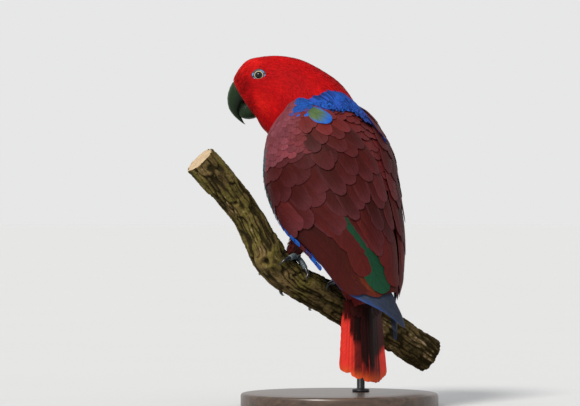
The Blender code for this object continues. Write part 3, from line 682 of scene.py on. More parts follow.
def vane_faces(rows, columns):
    """Quads of a closed vane, whose top and bottom share their rim, and its number of vertices."""
    top = np.arange(rows * columns).reshape(rows, columns)
    bottom = top.copy()
    inside = (rows - 2) * (columns - 2)
    bottom[1:-1, 1:-1] = rows * columns + np.arange(inside).reshape(rows - 2, columns - 2)

    def sheet(grid):
        return flat(np.stack([grid[:-1, :-1], grid[:-1, 1:], grid[1:, 1:], grid[1:, :-1]], -1))

    return np.concatenate([sheet(top), sheet(bottom)[:, ::-1]]), rows * columns + inside


def vanes(name, place, look, rows, skin, rng, thick=0.3, columns=VANE_COLUMNS):
    """Large feathers as closed vanes. place(s, across, over) gives points from a share of the length, an
    offset across and a height over the feather's lie, each an array of feathers, rows and columns.

    look holds, for each feather: width, length, crown (how far it domes), blunt (how long its rounded tip is,
    in half widths), splits (how likely a split in the rim is), the colours middle, edge and tip, how far the
    tip's colour is mixed in (tipped) and from where (tip_from), and how dark its root is (shade), from where
    and up to where. The dark root is painted shade where the feathers over it cover it.
    """
    width, length = look["width"], look["length"]
    n = len(width)
    q = np.linspace(0, 1, rows)
    tip = np.clip(look["blunt"] * width / 2 / length, 0.05, 0.6)[:, None]
    bow = np.clip((q - VANE_TURN) / (1 - VANE_TURN), 0, 1)[None] * math.pi / 2
    s = (1 - tip) * np.minimum(q / VANE_TURN, 1)[None] + tip * np.sin(bow)
    wide = np.maximum(np.cos(bow), 0.05) ** 0.8 * (0.55 + 0.45 * ease(s, 0.0, 0.35))
    x = columns[None, None, :] * np.ones((n, rows, 1))
    ragged = 1 + RAGGED * rng.uniform(-1, 1, (n, rows, 2)) * ease(q, 0.1, 0.3)[None, :, None]
    for _ in range(2):
        at = rng.integers(rows // 3, rows - 2, n)
        side = rng.integers(0, 2, n)
        notch = rng.uniform(0.04, 0.22, n) * (rng.uniform(0, 1, n) < look["splits"])
        ragged[np.arange(n), at, side] -= notch
    edge = np.where(x < 0, ragged[:, :, :1], ragged[:, :, 1:])
    scale = np.where(np.abs(x) > 0.95, edge, np.where(np.abs(x) > 0.8, 1 + (edge - 1) * 0.5, 1.0))
    across = x * (column(width) / 2 * wide[:, :, None]) * scale
    ss = np.broadcast_to(s[:, :, None], across.shape)
    bend = column(look["crown"]) * (1 - x * x) * wide[:, :, None]
    shaft = SHAFT_HEIGHT * np.exp(-((x / 0.1) ** 2)) * (1 - ss) ** 0.5
    ripple = RIPPLE * np.sin(ss * column(length) / 2.2 + x * 3 + rng.uniform(0, 6, (n, 1, 1))) * np.abs(x)
    over = bend + shaft + ripple
    top = place(ss, across, over)
    inner = place(ss, across, over - thick * wide[:, :, None])[:, 1:-1, 1:-1]
    verts = np.concatenate([top.reshape(n, -1, 3), inner.reshape(n, -1, 3)], 1)
    fringe = np.maximum(ease(np.abs(x), 0.72, 1.0), ease(ss, 1 - tip[:, :, None] * 0.5, 1.0))[..., None]
    colour = look["middle"][:, None, None, :] * (1 - fringe) + look["edge"][:, None, None, :] * fringe
    away = ease(ss, look.get("tip_from", 0.55), 1.0)[..., None] * look["tipped"]
    colour = colour * (1 - away) + look["tip"][:, None, None, :] * away
    # The root is darkened: painted shade where the feathers over it cover it.
    shade = np.broadcast_to(look.get("shade", 0.35), n)
    since, upto = columns_of(n, look.get("shade_from", 0.1), look.get("shade_to", 0.3 + shade * 0.7))
    colour = colour * (1 - column(shade) * (1 - ease(ss, since, upto)))[..., None]
    spot = np.stack([across, ss * column(length), column(rng.uniform(0, 1, n)) + 0 * ss], -1)
    cell, grid = np.arange(n), math.ceil(math.sqrt(n))
    uv = np.stack([column(cell % grid) + 0.5 + 0.44 * x, column(cell // grid) + 0.06 + 0.88 * ss], -1) / grid

    def both(values):
        lower = values[:, 1:-1, 1:-1].reshape(n, -1, values.shape[-1])
        return flat(np.concatenate([values.reshape(n, -1, values.shape[-1]), lower], 1))

    quads, count = vane_faces(rows, len(columns))
    quads = repeat(quads, n, count)
    return build(name, flat(verts), quads, None, skin, both(colour), both(spot), both(uv))


def sheet_of(name, rings, skin, tint=None):
    """A closed tube or shell through rings of points, with a flat cap at each end."""
    rings = np.asarray(rings)
    rows, sides = rings.shape[:2]
    grid, after, quads = ring_quads(rows, sides)
    middle = rows * sides
    caps = [
        np.stack([after[0], grid[0], np.full(sides, middle)], -1),
        np.stack([grid[-1], after[-1], np.full(sides, middle + 1)], -1),
    ]

    def with_middles(values):
        return np.concatenate([flat(values), [values[0].mean(0), values[-1].mean(0)]])

    tint = None if tint is None else with_middles(tint)
    return build(name, with_middles(rings), quads, np.concatenate(caps), skin, tint=tint)


def new_material(name, rough, **sockets):
    """A material, its node tree and its shader, with uniform values set on the shader's own sockets."""
    made = bpy.data.materials.new(name)
    made.use_nodes = True
    shader = made.node_tree.nodes["Principled BSDF"]
    shader.inputs["Roughness"].default_value = rough
    for socket, value in sockets.items():
        shader.inputs[socket.replace("_", " ")].default_value = value
    return made, made.node_tree, shader


def add(tree, kind, settings=None, **inputs):
    """A node, with its inputs linked to sockets or set to values. An input is named, or i and its number."""
    made = tree.nodes.new("ShaderNode" + kind)
    for key, value in (settings or {}).items():
        setattr(made, key, value)
    for key, value in inputs.items():
        socket = made.inputs[int(key[1:])] if key[0] == "i" and key[1:].isdigit() else made.inputs[key]
        if isinstance(value, bpy.types.NodeSocket):
            tree.links.new(value, socket)
        else:
            socket.default_value = value
    return made


def calc(tree, operation, first, second=0.0):
    return add(tree, "Math", {"operation": operation}, i0=first, i1=second).outputs[0]


def times(tree, first, second):
    """The product of two colours."""
    settings = {"data_type": "RGBA", "blend_type": "MULTIPLY"}
    return add(tree, "Mix", settings, i0=1.0, i6=first, i7=second).outputs[2]


def ramp(tree, value, stops):
    made = tree.nodes.new("ShaderNodeValToRGB")
    tree.links.new(value, made.inputs[0])
    while len(made.color_ramp.elements) < len(stops):
        made.color_ramp.elements.new(0.5)
    for element, (at, colour) in zip(made.color_ramp.elements, stops):
        element.position = at
        grey = isinstance(colour, (int, float))
        element.color = (colour, colour, colour, 1) if grey else (*colour, 1)
    return made.outputs[0]


def bump(tree, shader, height, strength, distance):
    made = add(tree, "Bump", Height=height, Strength=strength, Distance=distance)
    tree.links.new(made.outputs[0], shader.inputs["Normal"])


def plumage(name, rough, coarse, fine, contrast, relief, sheen, sheen_tint, shaft, gloss, lay=(1.0, 1.15)):
    """Feathers: the tint of each place, streaked along its barbs, a shade for each feather, and a sheen.

    lay says how fast the streaks change along the feather and across it.
    """
    made, tree, shader = new_material(
        name, rough, Sheen_Weight=sheen, Sheen_Roughness=0.45, Sheen_Tint=(*sheen_tint, 1),
        Specular_IOR_Level=gloss,
    )
    vane = add(tree, "Attribute", {"attribute_name": "vane"}).outputs["Vector"]
    across, down, seed = add(tree, "SeparateXYZ", i0=vane).outputs
    away = calc(tree, "ABSOLUTE", across)
    barb = calc(tree, "SUBTRACT", calc(tree, "MULTIPLY", down, lay[0]), calc(tree, "MULTIPLY", away, lay[1]))
    slow, own = calc(tree, "MULTIPLY", across, 0.12), calc(tree, "MULTIPLY", seed, 41.0)
    along = add(tree, "CombineXYZ", i0=barb, i1=slow, i2=own).outputs[0]
    streak = add(tree, "TexNoise", i2=coarse, Vector=along, Detail=2.0).outputs[0]
    thread = add(tree, "TexNoise", i2=fine, Vector=along, Detail=1.0).outputs[0]
    shades = [
        (streak, [(0.3, 1 - contrast), (0.7, 1.0)]),
        (seed, [(0.0, 1 - contrast * 0.8), (1.0, 1.0)]),
        (thread, [(0.35, 1 - contrast * 0.6), (0.65, 1.0)]),
    ]
    if shaft:
        shades.append((away, [(0.1, 1 - shaft), (0.32, 1.0)]))
    colour = add(tree, "Attribute", {"attribute_name": "tint"}).outputs["Color"]
    for value, stops in shades:
        colour = times(tree, colour, ramp(tree, value, stops))
    tree.links.new(colour, shader.inputs["Base Color"])
    bump(tree, shader, thread, relief, 0.0002)
    return made


def speckled(name, rough, scale, stops, relief, distance, detail, grain, stretch=None, tinted=False,
             **sockets):
    """A surface coloured by noise through the object, or with a tint at each place that it breaks up."""
    made, tree, shader = new_material(name, rough, **sockets)
    where = add(tree, "TexCoord").outputs["Object"]
    if stretch:
        where = add(tree, "Mapping", Vector=where, Scale=stretch).outputs[0]
    spots = add(tree, "TexNoise", i2=scale, Vector=where, Detail=detail, Roughness=grain).outputs[0]
    colour = ramp(tree, spots, stops)
    if tinted:
        colour = times(tree, add(tree, "Attribute", {"attribute_name": "tint"}).outputs["Color"], colour)
    tree.links.new(colour, shader.inputs["Base Color"])
    if relief:
        bump(tree, shader, spots, relief, distance)
    return made


def tinted(name, rough, size, contrast, relief, distance=0.0003, **sockets):
    """A surface with a tint at each place, broken up by noise of this size in millimetres."""
    stops = [(0.3, 1 - contrast), (0.7, 1.0)]
    return speckled(name, rough, 1000.0 / size, stops, relief, distance, 6.0, 0.6, tinted=True, **sockets)


def body_tint(t, angle, points):
    """The plumage's colour at a place on the body."""
    degrees = facing(angle)
    turned = np.abs(degrees)
    ragged = t + noise(points, 5.0, 1) * 0.16 + noise(points, 1.6, 2) * 0.12
    hood = np.interp(degrees, ZONE_ANGLES, HOOD_END)
    blue = np.interp(degrees, ZONE_ANGLES, BLUE_END)
    belly = ease(turned, 100, 150)
    red = blend(DEEP_RED, RED, 0.25 + 0.75 * (0.5 + 0.5 * noise(points, 9.0, 3)))
    # The throat and the lower neck turn deeper red: partly the feathers' own darker red, partly painted
    # shade.
    red = blend(red, DEEP_RED, ease(turned, 105, 150) * ease(t, 2.0, 4.0) * 0.8)
    red = blend(red, DEEP_RED, ease(t, 3.2, 4.6) * (0.45 + 0.3 * noise(points, 7.0, 19)))
    lore = ease(t, 1.5, 0.7) * ease(turned, 25, 50) * (1 - ease(turned, 110, 140))
    red = red * (1 - lore * (0.32 + 0.34 * noise(points, 1.5, 16)))[..., None]
    # The cheek under the eye and the front of the crown turn a brighter red: a painted highlight where light
    # falls on them.
    lit_cheek = ease(t, 1.0, 1.5) * ease(t, 3.0, 2.0) * ease(turned, 80, 95) * ease(turned, 125, 108)
    lit_brow = ease(t, 0.3, 0.9) * ease(t, 2.4, 1.4) * ease(turned, 60, 25)
    red = blend(red, SUNLIT_RED, np.maximum(lit_cheek, lit_brow) * (0.38 + 0.3 * noise(points, 2.6, 17)))
    colour = blend(red, blend(BLUE, VIOLET, belly), ease(ragged, hood - 0.06, hood + 0.06))
    colour = blend(colour, MAROON, ease(ragged, blue - 0.08, blue + 0.08) * (1 - belly))
    # The vent's near-black colour is dark feathers with painted shade.
    return blend(colour, VENT_AND_SHADE, ease(ragged, *VENT_ROWS) * belly)


def make_coat(rng, feather):
    """The small feathers of the head, neck, breast, belly and back."""
    eyes = [eye_middle(side) for side in (1, -1)]

    def from_eyes(points):
        return np.min([np.linalg.norm(points - eye, axis=-1) for eye in eyes], 0)

    def keep(u, v):
        """Which roots are clear of the eyes, the mouth and the back under the wings."""
        points = coat_point(u, v, 0.0)
        from_mouth = np.linalg.norm(points - BILL_BASE - HEAD_FORWARD * 3 + [0, 0, 4], axis=-1)
        covered = (u > BACK_COVERED) & (np.abs(facing(v)) < BACK_DEGREES)
        return (from_eyes(points) > EYE_RADIUS - 0.2) & ~covered & (from_mouth > 8.0)

    for number, (low, high, gap, length, width) in enumerate(COAT_ZONES):
        t, angle = scatter(coat_point, (low, high), (-math.pi, math.pi), gap, rng, keep)
        points = coat_point(t, angle, 0.0)
        n = len(t)
        degrees = facing(angle)
        streak = noise(np.stack([angle * 26, t * 1.2, 0 * t], -1), 1.6, 21)[:, None]
        tint = body_tint(t + 0.15, angle, points) * (rng.uniform(0.95, 1.03, (n, 1)) + 0.14 * streak)
        small = (0.5 + 0.5 * ease(from_eyes(points), 7.0, 15.0)) * (0.55 + 0.45 * ease(t, 0.1, 1.2))
        size = rng.uniform(0.8, 1.2, n) * small
        heading = noise(points, 16.0, 5) * 0.22 + rng.normal(0, 0.06, n)
        heading += 0.35 * np.sin(np.radians(degrees)) * ease(t, 0.5, 2.5) * (1 - ease(t, 3.5, 5.5))
        loose = 0.35 + 0.65 * ease(t, 1.5, 7.0)
        roots = -(0.3 + 0.9 * loose)
        tips = 0.1 + rng.uniform(-0.15, 0.2, n) * loose - 0.3 * (1 - loose)
        tips += 1.2 * ease(t, 6.9, 7.8) * (1 - ease(np.abs(degrees), 30, 70))
        long, wide = length * size, width * np.sqrt(size)
        coat(f"coat_{number}", coat_point, t, angle, long, wide, heading, roots, tips, tint, feather,
             rng, unwrap(t, angle))


def leg_points(name):
    """A leg's ankle and hip."""
    return np.array(LEGS[name][1]), np.array(LEGS[name][2])


def skin_rings():
    """The forms that the skin wraps: the body, both arms and both thighs, each in from the feathers."""
    turn = turns(48)
    rows = np.linspace(0, 13.8, 110)
    body = [coat_point(t, turn, -SKIN_DEPTH - SKIN_DEEPER * ease(t, 1.5, 7.0)) for t in rows]
    forms = [np.array(body)]
    share = np.linspace(0.02, 0.98, 15)
    for side in SIDES:
        rows = []
        for height in np.linspace(ARM_TOP, ARM_LOW, 50):
            angle = wing_angle(side, height, share)
            over = arm_height(side, height, angle)
            top = wing_point(side, height, angle, over - 2.4 + 1.2 * ease(-height, 40, 90))
            low = wing_point(side, height, angle, -6.0 - 8 * ease(height, 40, 90))[::-1]
            rows.append(np.concatenate([top, low]))
        forms.append(np.array(rows))
    for name in SIDES:
        ankle, hip = leg_points(name)
        way = np.linspace(0, 1, 12)
        points = [ankle + (hip - ankle) * s for s in np.linspace(0.1, 1.2, 12)]
        forms.append(tube_rings(points, np.interp(way, [0, 0.5, 1], [5.0, 9.5, 11.0]), 20))
    return forms


def tube_rings(points, radii, sides):
    """Rings of a tube along points, in millimetres."""
    points = np.asarray(points, float)
    tangents = unit(np.gradient(points, axis=0))
    side = np.cross(tangents[0], [0.3, 0.2, 1.0])
    angle = turns(sides)
    rings = []
    for point, tangent, radius in zip(points, tangents, radii):
        side = unit(side - tangent * (side @ tangent))
        out = side * np.cos(angle)[:, None] + np.cross(tangent, side) * np.sin(angle)[:, None]
        rings.append(point + out * radius)
    return np.array(rings)


def make_skin(skin):
    """One skin under all the plumage, with no seam between the head, body, wings and thighs."""
    verts, faces, start = [], [], 0
    for rings in skin_rings():
        rows, sides = rings.shape[:2]
        grid, _, quads = ring_quads(rows, sides, start)
        faces += [*quads.tolist(), grid[0, ::-1].tolist(), grid[-1].tolist()]
        verts.append(flat(rings))
        start += rows * sides
    mesh = bpy.data.meshes.new("skin_form")
    mesh.from_pydata((np.concatenate(verts) * MM).tolist(), [], faces)
    form = link("skin_form", mesh)
    wrap = form.modifiers.new("wrap", "REMESH")
    wrap.mode = "VOXEL"
    wrap.voxel_size = SKIN_CELL * MM
    even = form.modifiers.new("even", "SMOOTH")
    even.factor, even.iterations = 0.5, 6
    bpy.context.view_layer.update()
    graph = bpy.context.evaluated_depsgraph_get()
    done = bpy.data.meshes.new_from_object(form.evaluated_get(graph))
    bpy.data.objects.remove(form)
    co = np.empty(len(done.vertices) * 3)
    done.vertices.foreach_get("co", co)
    co = co.reshape(-1, 3) / MM
    quads = np.empty(len(done.loops), np.int32)
    done.loops.foreach_get("vertex_index", quads)
    t, angle = np.meshgrid(np.linspace(0, 14, 160), np.linspace(-math.pi, math.pi, 120), indexing="ij")
    tree = tree_of(flat(body_point(t, angle, -3.0)))
    nearest = np.array([tree.find(point)[1:] for point in co])
    at = nearest[:, 0].astype(int)
    t, angle = t.ravel()[at], angle.ravel()[at]
    tint = blend(body_tint(t, angle, co) * 0.85, DARK * 0.7, ease(nearest[:, 1], 2.5, 5.0))
    place = np.stack(unwrap(t, angle), -1)
    piece = build("skin", co, quads.reshape(-1, 4), None, skin, tint=tint, uv=place)
    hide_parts("head", "neck", "torso", "thigh_left", "thigh_right")
    bpy.data.meshes.remove(done)


def look_of(width, length, crown, blunt, splits, tipped, colours, vary=1.0, **more):
    """What vanes needs to know of a batch of feathers, whose three colours vary by a factor."""
    middle, edge, tip = (colour * vary for colour in colours)
    shape = {"width": width, "length": length, "crown": crown, "blunt": blunt, "splits": splits}
    return {**shape, "tipped": tipped, "middle": middle, "edge": edge, "tip": tip, **more}


def beside(height, angle, lean, across):
    """The place this far across from a feather's middle line, which turns by lean degrees a step down."""
    radius = wing_radius(height)
    lean = np.radians(lean) * radius
    length = np.hypot(1.0, lean)
    return height + across * lean / length, angle - np.degrees(across / length / radius)


def wing_lie(side, share, root, tip, width, low, high, tilt_by=TILT, lean_by=0.0):
    """Where a batch of wing feathers lies, as a function of the place on each feather."""
    given = (share, root, tip, width, low, high, lean_by)
    share, root, tip, width, low, high, lean_by = columns_of(len(share), *given)

    def place(s, across, over):
        height = root + (tip - root) * s
        angle = wing_angle(side, height, share + lean_by * s, width)
        ahead = wing_angle(side, height + 1.0, share + lean_by * (s - 1.0 / (root - tip)), width)
        height_at, angle_at = beside(height, angle, ahead - angle, across)
        tilt = -tilt_by * across / np.maximum(width, 1) * 2
        lift = arm_height(side, height_at, angle_at) + low + (high - low) * s**0.8 + over + tilt
        return wing_point(side, height_at, angle_at, lift)

    return place


def spot_lie(side, start, end, low, high, tilt=0.0):
    """Where single feathers lie between two places on a wing or the mantle, each a height and an angle."""
    start, end = np.asarray(start, float), np.asarray(end, float)
    low, high, tilt = columns_of(len(start), low, high, tilt)
    root, turn = columns_of(len(start), *start.T)
    fall, turned = columns_of(len(start), *(end - start).T)

    def place(s, across, over):
        height_at, angle_at = beside(root + fall * s, turn + turned * s, turned / fall, across)
        lift = low + (high - low) * s**0.8 + over - tilt * across
        if side == "both":
            return mantle_point(height_at, angle_at, lift)
        return wing_point(side, height_at, angle_at, arm_height(side, height_at, angle_at) + lift)

    return place


def flight_colours(kind, share, rng):
    """The middle, edge and tip colours of a tier's feathers."""
    dark = rng.uniform(0.0, 0.35, len(share))
    plain = np.zeros((len(share), 1))
    if kind == "primary":
        return SLATE + plain, blend(SLATE, BLUE, 0.12 + 0.4 * (share < 0.12)), SLATE * 0.7 + plain
    # The secondaries and tertials are dark maroon, made darker still as painted shade of the lower wing.
    if kind == "secondary":
        edge = blend(MAROON, DARK, 0.85 + 0 * share)
        tip = blend(edge, ORANGE * 0.3, 0.35 * ease(share, 0.3, 0.4) * ease(share, 0.6, 0.5))
        return blend(MAROON, DARK, 0.8 + dark * 0.8), blend(edge, DARK, ease(share, 0.05, 0.0) * 0.7), tip
    edge = blend(MAROON, DARK, 0.35 + 0 * share)
    return blend(MAROON, DARK, 0.5 + dark), edge, edge


def make_wing(side, rng, feather):
    """One folded wing: flight feathers in tiers, then coverts, scapulars and the shoulder's feathers."""
    pieces = []
    for kind, (count, shares, roots, tips, width, (low, high), rows, blunt, splits) in TIERS.items():
        way = np.linspace(0, 1, count)
        share = shares[0] + (shares[1] - shares[0]) * way + rng.uniform(-0.015, 0.015, count)
        root = roots[0] + (roots[1] - roots[0]) * way
        tip = tips[0] + (tips[1] - tips[0]) * way + rng.uniform(-1, 1, count) * 3
        if kind == "tertial":
            share, tip = np.array(TERTIAL_SHARES), np.array(TERTIAL_TIPS, float)
        wide = width * rng.uniform(0.93, 1.07, count)
        middle, edge, end = flight_colours(kind, share, rng)
        if kind == "primary":
            tip -= LONGER[side] * (1 - way)
            if side == "right":
                wide[:2] *= 0.45
                middle[:2], edge[:2], end[:2] = SLATE * 0.3, BLUE * 0.35, SLATE * 0.3
        elif kind == "tertial" and side == "left":
            for colour in (middle, edge, end):
                colour[1] = GREEN
        vary = rng.uniform(0.84, 1.1, (count, 1))
        look = look_of(wide, root - tip, wide * CROWN, blunt, splits, 0.7, (middle, edge, end), vary)
        lie = wing_lie(side, share, root, tip, wide, low, high)
        pieces.append(vanes(f"wing_{side}_{kind}", lie, look, rows, feather, rng))
    for kind in STREAMS:
        pieces.append(make_stream(side, kind, rng, feather))
    pieces.append(make_lesser(side, rng, feather))
    for piece in pieces:
        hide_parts(f"wing_{side}")


def make_stream(side, kind, rng, feather):
    """The coverts or the scapulars of one wing, in columns that run down it."""
    columns, ends, top, steps, (low, high), overlap, edge_on = STREAMS[kind]
    found = []
    for k, share in enumerate(columns):
        end = ends[0] + (ends[1] - ends[0]) * k / (len(columns) - 1)
        height = end + steps[0] * 0.6 * (STAGGER * k % 1)
        while height < top:
            step = np.interp(height, [end, top], steps)
            found.append((share, height, step, k == 0))
            height += step
    share, tip, step, first = np.array(found).T
    n = len(share)
    tip = tip + rng.uniform(-0.08, 0.08, n) * step
    length = step * 1.75
    lean = rng.uniform(-0.03, 0.03, n)
    edges = down_wing(EDGES[side], tip)
    apart = np.radians(edges[:, 0] - edges[:, 1]) * wing_radius(tip) * (columns[1] - columns[0])
    width = np.clip(apart * overlap, 12, 32) * rng.uniform(0.95, 1.05, n)
    patch = 0.5 + 0.5 * noise(np.stack([tip / 26, share * 5, 0 * tip], -1), 1.0, 18)
    # Low on the wing the feathers are darker and browner, partly their own colour and partly painted shade;
    # high on it they are brighter, painted light.
    lower, sunlit_high = ease(tip, 62, 34), ease(tip, 34, 62)
    middle = blend(MAROON, DARK, np.clip(patch * 0.6 + 0.42 * lower + rng.uniform(-0.15, 0.15, n), 0, 1))
    middle = blend(middle, LILAC, ease(patch, 0.4, 0.1) * 0.22) * (1 - lower[:, None] * [0.22, 0.42, 0.5])
    middle = middle * (1 + 0.22 * sunlit_high[:, None])
    edge = blend(middle, LILAC, 0.14 + 0.08 * ease(tip, 20, -20))
    blunt = rng.uniform(1.2, 2.4, n) + edge_on
    look = look_of(width, length, width * CROWN, blunt, 0.8, 0.6, (middle, edge, edge), shade=0.3)
    lie = wing_lie(side, share, tip + length, tip, width, low, high + edge_on * first, 0.0, lean)
    return vanes(f"wing_{side}_{kind}", lie, look, 22, feather, rng, 0.2)


def make_lesser(side, rng, feather):
    """The small scale-like coverts of the shoulder, and the marginal ones along the leading edge."""
    starts, ends, sizes = [], [], []

    def add_row(root, share, tip, share_at_tip, width):
        starts.append(np.stack([root, wing_angle(side, root, share)], -1))
        ends.append(np.stack([tip, wing_angle(side, tip, share_at_tip)], -1))
        sizes.append(np.full(len(root), width))

    count = LESSER_COLUMNS
    for k in range(LESSER_ROWS):
        share = np.linspace(-0.03, 0.8, count) + rng.uniform(-0.008, 0.008, count)
        root = LESSER_TOP - LESSER_STEP * k + LESSER_STEP * (STAGGER * np.arange(count) % 1)
        root = root + rng.uniform(-0.5, 0.5, count)
        long = rng.uniform(15, 17, count) * (0.8 + 0.03 * k)
        add_row(root, share, root - long, share, 8.6 + 0.5 * k)
    for k in range(3):
        root = np.arange(96, -60 if k == 0 else 8, -7.5) + 2.5 * k
        share = np.full(len(root), -0.055 + 0.05 * k)
        add_row(root, share, root - 15, share + 0.03, 6.5)
    start, end, width = np.concatenate(starts), np.concatenate(ends), np.concatenate(sizes)
    edges = down_wing(EDGES[side], start[:, 0])
    share = (edges[:, 0] - start[:, 1]) / (edges[:, 0] - edges[:, 1])
    kept = (share < 0.62) | (start[:, 0] > 90)
    start, end, width, share = start[kept], end[kept], width[kept], share[kept]
    height = start[:, 0]
    n = len(width)
    width = width * rng.uniform(0.9, 1.1, n)
    # The upper shoulder takes lilac in patches: a painted sheen.
    sheen = 0.5 + 0.5 * noise(np.stack([height / 9, share * 12, height * 0], -1), 1.0, 6)
    lilac = ease(height, 15, 60) * ease(share, 0.75, 0.3)
    middle = blend(MAROON, DARK, 0.5 * ease(height, 20, -10))
    middle = blend(middle, LILAC, 0.05 + (0.15 + sheen * 0.7) * lilac)
    shoulder = ease(height, 99, 102) * ease(share, 0.36, 0.42)
    teal = ease(share, 0.15, 0.1) * ease(height, 12, 25)
    gap = ease(height, -24, -28) * ease(height, -42, -38)
    blue = ease(share, -0.02, -0.04) * ease(height, 25, 12) * (1 - gap)
    front = (teal + blue) * ease(height, 88, 66) * ease(height, -60, -52)
    middle = blend(middle, blend(BLUE, TEAL, ease(height, 0, 25)), front)
    edge = blend(blend(middle, LILAC, 0.3 * lilac * (1 - front)), BLUE * 0.9, shoulder)
    middle = blend(middle, BLUE * 0.7, shoulder)
    vary = rng.uniform(0.8, 1.12, (n, 1))
    look = look_of(width, start[:, 0] - end[:, 0], width * 0.03, 1.0, 0.4, 0.5, (middle, edge, edge), vary)
    lie = spot_lie(side, start, end, 0.2, 2.8)
    return vanes(f"wing_{side}_lesser", lie, look, 9, feather, rng, 0.35, SMALL_COLUMNS)


def make_specials(rng, feather):
    """The blue feathers at the left shoulder, one of them large, with an olive middle."""
    start = [(94, 55), (97, 66), (98, 74), (96, 48)]
    end = [(70, 32), (82, 49), (84, 59), (80, 36)]
    edge = np.array([BLUE * 1.1, BLUE * 1.2, BLUE * 1.1, BLUE])
    middle = np.array([OLIVE, BLUE, BLUE * 0.9, BLUE * 0.7])
    width, length = np.array([17.0, 10, 9, 10]), np.array([30.0, 22, 19, 20])
    look = look_of(width, length, np.array([1.0, 0.5, 0.5, 0.5]), 1.5, 0.4, 0.9, (middle, edge, edge))
    lie = spot_lie("left", start, end, 0.2, [4.6, 2.6, 2.4, 2.8])
    blue = vanes("wing_left_blue", lie, look, 18, feather, rng)
    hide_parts("wing_left")


def make_mantle(rng, feather):
    """The feathers of the back, which lie over the inner edges of both wings."""
    starts, ends, sizes = [], [], []
    for k, (height, long, width) in enumerate(MANTLE):
        reach = np.array(min(height - long / 2, 88.0))
        left = wing_angle("left", reach, np.array(1.0)) + 9
        right = -wing_angle("right", reach, np.array(1.0)) - 9
        arc = math.radians(left - right) * (down_wing(WING, height)[0] + 8)
        count = max(2, int(round(arc / (width * 0.62))))
        angle = np.linspace(left, right, count) + (k % 2 - 0.5) * 3 + rng.uniform(-1, 1, count)
        root = height + rng.uniform(-2.5, 2.5, count)
        tip = root - long + rng.uniform(-3, 3, count)
        shown = tip < np.interp(angle, BAND_LOW[::-1, 1], BAND_LOW[::-1, 0]) - 3
        starts.append(np.stack([root, angle], -1)[shown])
        ends.append(np.stack([tip, angle * 0.86 - 1.5], -1)[shown])
        sizes.append(np.full(shown.sum(), float(width)))
    start, end, width = np.concatenate(starts), np.concatenate(ends), np.concatenate(sizes)
    n = len(width)
    middle = blend(MAROON, DARK, rng.uniform(0, 0.35, n))
    edge = blend(middle, LILAC, 0.16 + 0 * width)
    vary = rng.uniform(0.85, 1.1, (n, 1))
    wide = width * rng.uniform(0.92, 1.08, n)
    look = look_of(wide, start[:, 0] - end[:, 0], width * CROWN, 1.1, 0.6, 0.5, (middle, edge, edge), vary)
    lie = spot_lie("both", start, end, -3.0, 1.6, -np.sign(start[:, 1] - 3) * TILT / width)
    piece = vanes("mantle", lie, look, 16, feather, rng)
    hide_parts("torso")


def make_bridge(name, top, bottom, slant, outward, count, kind, thick, rng, feather, reach=0.0, bulge=1.3):
    """Narrow feathers that run from one line of points to another, a slant further along it.

    kind(k) gives the width, colour, and shortest and longest length of feathers at the places k of the lines.
    """
    k = rng.uniform(0, len(top) - 1, count)
    first, last = smooth_rows(top, k), smooth_rows(bottom, np.minimum(k + slant, len(bottom) - 1))
    onward = smooth_rows(top, k + 0.05) + smooth_rows(bottom, k + 0.05) - smooth_rows(top, k - 0.05)
    onward -= smooth_rows(bottom, k - 0.05)
    span = np.linalg.norm(last - first, axis=1)
    way = unit((last - first) / span[:, None] + unit(onward) * rng.normal(0.0, 0.08, (count, 1)))
    side = unit(onward - way * np.sum(onward * way, 1)[:, None])
    out = np.cross(side, way)
    out *= np.sign(np.sum(out * outward((first + last) / 2), 1))[:, None]
    width, middle, (short, long) = kind(k)
    length = np.minimum(rng.uniform(short, long, count), span + 4)
    begin = rng.uniform(-3, 1, count) + rng.uniform(0, 1, count) * np.maximum(span + 3 - length, 0)
    begin = begin - reach * span
    order = begin / np.maximum(span, 1)

    def place(s, across, over):
        far = column(begin) + s * column(length)
        rise = (-1.2 + 2.2 * s**0.8) * (1 - 0.35 * column(order)) + over
        rise += bulge * np.sin(np.clip(far / column(span), 0, 1) * math.pi)
        point = first[:, None, None] + way[:, None, None] * far[..., None]
        return point + side[:, None, None] * across[..., None] + out[:, None, None] * rise[..., None]

    wide = width * rng.uniform(0.8, 1.2, count)
    look = look_of(wide, length, np.full(count, 0.12), 2.4, 0.3, 0.3, (middle, middle * 1.2, middle * 1.25))
    return vanes(name, place, look, 9, feather, rng, thick, NARROW_COLUMNS)


def make_band(rng, feather):
    """The long narrow blue feathers that run from the hood's edge over the top of the mantle."""
    top = body_point(BAND_HIGH[:, 0], np.radians(BAND_HIGH[:, 1]), 0.5)
    bottom = mantle_point(BAND_LOW[:, 0], BAND_LOW[:, 1], 2.6)
    layers = (("band_under", 420, 0.15, 4.2, 0.3), ("band", 520, 0.0, 3.0, 0.25))
    for name, count, reach, width, thick in layers:

        def blue(k, width=width):
            tone = rng.uniform(0.3, 1.05, (len(k), 1))
            return width, blend(BLUE, VIOLET, rng.uniform(0, 0.35, len(k))) * tone, (14, 20)

        piece = make_bridge(name, top, bottom, 1.6, lambda mid: BACK, count, blue, thick, rng, feather, reach)
        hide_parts("neck")


